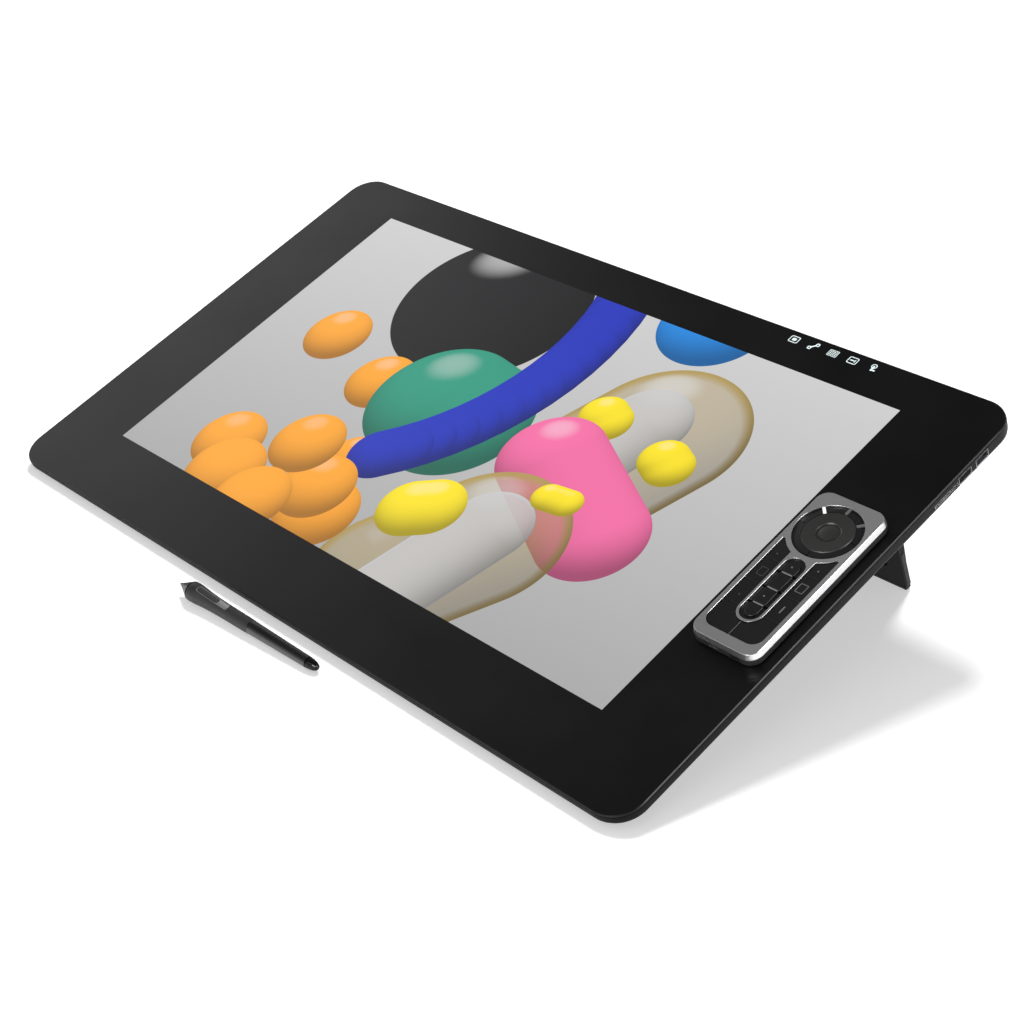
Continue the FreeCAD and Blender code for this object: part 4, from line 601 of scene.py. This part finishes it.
# ---------------------------------------------------------------------------
# Remote's key legends: grey dots, boxes and bars, pad-printed on the keys, and
# the brushed silver strips between the four keys of the middle column.
# ---------------------------------------------------------------------------
remote_middle = (0.2957, 0.00375)
key_face, pill_face, strip_face = 0.00895, 0.00955, 0.00945
legend_finish = moulded("legend_print", (0.16, 0.16, 0.165), 0.5, cells=3000, strength=0.1)
# The left keys' legends are a darker copy of the same print: painted shade.
legend_painted_shade_finish = moulded("legend_print_painted_shade", (0.06, 0.06, 0.062), 0.5, cells=3000, strength=0.1)
strip_finish = moulded("brushed_strip", (0.5, 0.5, 0.5), 0.3, cells=2500, lift=1.1, metallic=0.6)


def on_key(name, body, finish, across, along, wide, high, line=0.0, face=key_face):
    """A legend on one of the remote's keys, placed from the middle of the remote."""
    place = (remote_middle[0] + across, remote_middle[1] + along, face)
    join_pieces([printed(place, wide, high, min(0.0005, min(wide, high) * 0.3), line)])
    take_name(name, finish, body)


dot, pill_dot = (0.0011, 0.0011), (0.0012, 0.0012)
# Each row: legend, its key, finish, place across and along the remote, size, outline width.
side_legends = (
    ("legend_right_dot", "right_key_one", legend_finish, 0.0153, 0.0088, dot, 0.0),
    ("legend_right_box", "right_key_two", legend_finish, 0.0153, -0.0073, (0.006, 0.0075), 0.0005),
    ("legend_right_bar", "right_key_three", legend_finish, 0.0158, -0.0268, (0.001, 0.006), 0.0),
    # The left keys take the darker copy of the print: painted shade.
    ("legend_left_dot", "left_key_one", legend_painted_shade_finish, -0.0167, 0.0083, dot, 0.0),
    ("legend_left_box", "left_key_two", legend_painted_shade_finish, -0.0153, -0.0078, (0.0055, 0.007), 0.0004),
    ("legend_left_low_dot", "left_key_three", legend_painted_shade_finish, -0.0157, -0.0298, dot, 0.0),
)
for name, key, finish, across, along, size, line in side_legends:
    on_key(name, key, finish, across, along, *size, line)
for name, key, along in (
    ("legend_pill_dot_one", "pill_key_one", 0.0033),
    ("legend_pill_dot_three", "pill_key_three", -0.0238),
):
    on_key(name, key, legend_finish, -0.0007, along, *pill_dot, face=pill_face)
strip_size = (0.0081, 0.0009)
for index, along in enumerate((-0.00255, -0.01655, -0.03035)):
    on_key(f"pill_strip_{index + 1}", "remote", strip_finish, 0, along, *strip_size, face=strip_face)

# ---------------------------------------------------------------------------
# Pen: a soft rubber grip over the front half, a gloss barrel behind it, a
# satin rocker switch and an acetal nib. The parts push onto one core.
# ---------------------------------------------------------------------------
pen_barrel = moulded("pen_barrel_black", (0.008, 0.008, 0.009), 0.18, cells=160, strength=0.03, coat=0.6)
finish_slot("pen_gloss", pen_barrel)
finish_slot("grip_rubber", moulded("soft_grip", (0.015, 0.015, 0.016), 0.46, cells=2500, strength=0.3))
finish_slot("pen_key", moulded("rocker_plastic", (0.03, 0.03, 0.032), 0.45, cells=2500, strength=0.5))
finish_slot("nib_plastic", moulded("nib_acetal", (0.03, 0.03, 0.03), 0.4))

# ---------------------------------------------------------------------------
# The set: a plain pale floor, one soft light from high behind the left, four
# lamps for gloss and fill, a pale sky and the camera.
# ---------------------------------------------------------------------------
floor_size = 60
floor_material = new_finish("pale_floor", specular=0.1)[0]
floor_shader = floor_material.node_tree.nodes["Principled BSDF"]
floor_shader.inputs["Base Color"].default_value = (0.82, 0.82, 0.82, 1)
floor_shader.inputs["Roughness"].default_value = 0.9
floor_shader.inputs["Emission Color"].default_value = (1, 1, 1, 1)
floor_shader.inputs["Emission Strength"].default_value = 0.5
deselect_all()
bpy.ops.mesh.primitive_plane_add(size=floor_size, location=(0, 0, cad_box[0][2]))
floor = bpy.context.object
floor.name = "floor"
floor.data.materials.append(floor_material)


def add_light(name, kind, energy, toward, away=0.0):
    """A lamp that shines back along the direction toward; an area lamp stands away from the object."""
    lamp = bpy.data.objects.new(name, bpy.data.lights.new(name, kind))
    lamp.data.energy = energy
    lamp.location = Vector(toward).normalized() * away
    lamp.rotation_euler = Vector(toward).to_track_quat("Z", "Y").to_euler()
    bpy.context.scene.collection.objects.link(lamp)
    return lamp


sun = add_light("key_light", "SUN", 2.6, (-0.42, 0.6, 1.0))
sun.data.angle = math.radians(12)
sun.visible_glossy = False
lamp_away = 2.1
# Each row: lamp, watts, direction it shines back from, width. They only show as gloss.
glows = (
    ("left_glow", 6, (-0.9, 0.11, 0.42), 1.4),
    ("edge_glow", 26, (0.75, 0.1, 0.61), 0.9),
    ("front_glow", 45, (0.1, -0.8, 0.6), 0.8),
)
for name, energy, toward, wide in glows:
    glow = add_light(name, "AREA", energy, toward, lamp_away)
    glow.data.size = wide
    glow.visible_diffuse = False
overhead = add_light("overhead_fill", "AREA", 14, (0, 0, 1), 3.0)
overhead.data.size = 3.0
overhead.visible_glossy = False

world = bpy.data.worlds.new("studio")
world.use_nodes = True
sky = world.node_tree.nodes
sky_height = sky.new("ShaderNodeSeparateXYZ")
world.node_tree.links.new(sky.new("ShaderNodeTexCoord").outputs["Generated"], sky_height.inputs["Vector"])
sky_fade = ranged(world.node_tree, sky_height.outputs["Z"], 0.0, 0.6, 0.9, 0.1)
world.node_tree.links.new(sky_fade, sky["Background"].inputs["Strength"])
sky["Background"].inputs["Color"].default_value = (1, 1, 1, 1)
bpy.context.scene.world = world
bpy.context.scene.view_settings.view_transform = "Standard"

camera = bpy.data.objects.new("camera", bpy.data.cameras.new("camera"))
camera.data.lens = 68.56
camera.data.sensor_width = 36
camera.data.clip_end = 100
camera.location = (0.94365, -0.78837, 0.69695)
camera_aim = Vector((-0.65309, 0.58146, -0.48516)).to_track_quat("-Z", "Y")
camera.rotation_euler = (camera_aim @ Quaternion((0, 0, 1), math.radians(-2.02))).to_euler()
bpy.context.scene.collection.objects.link(camera)
bpy.context.scene.camera = camera
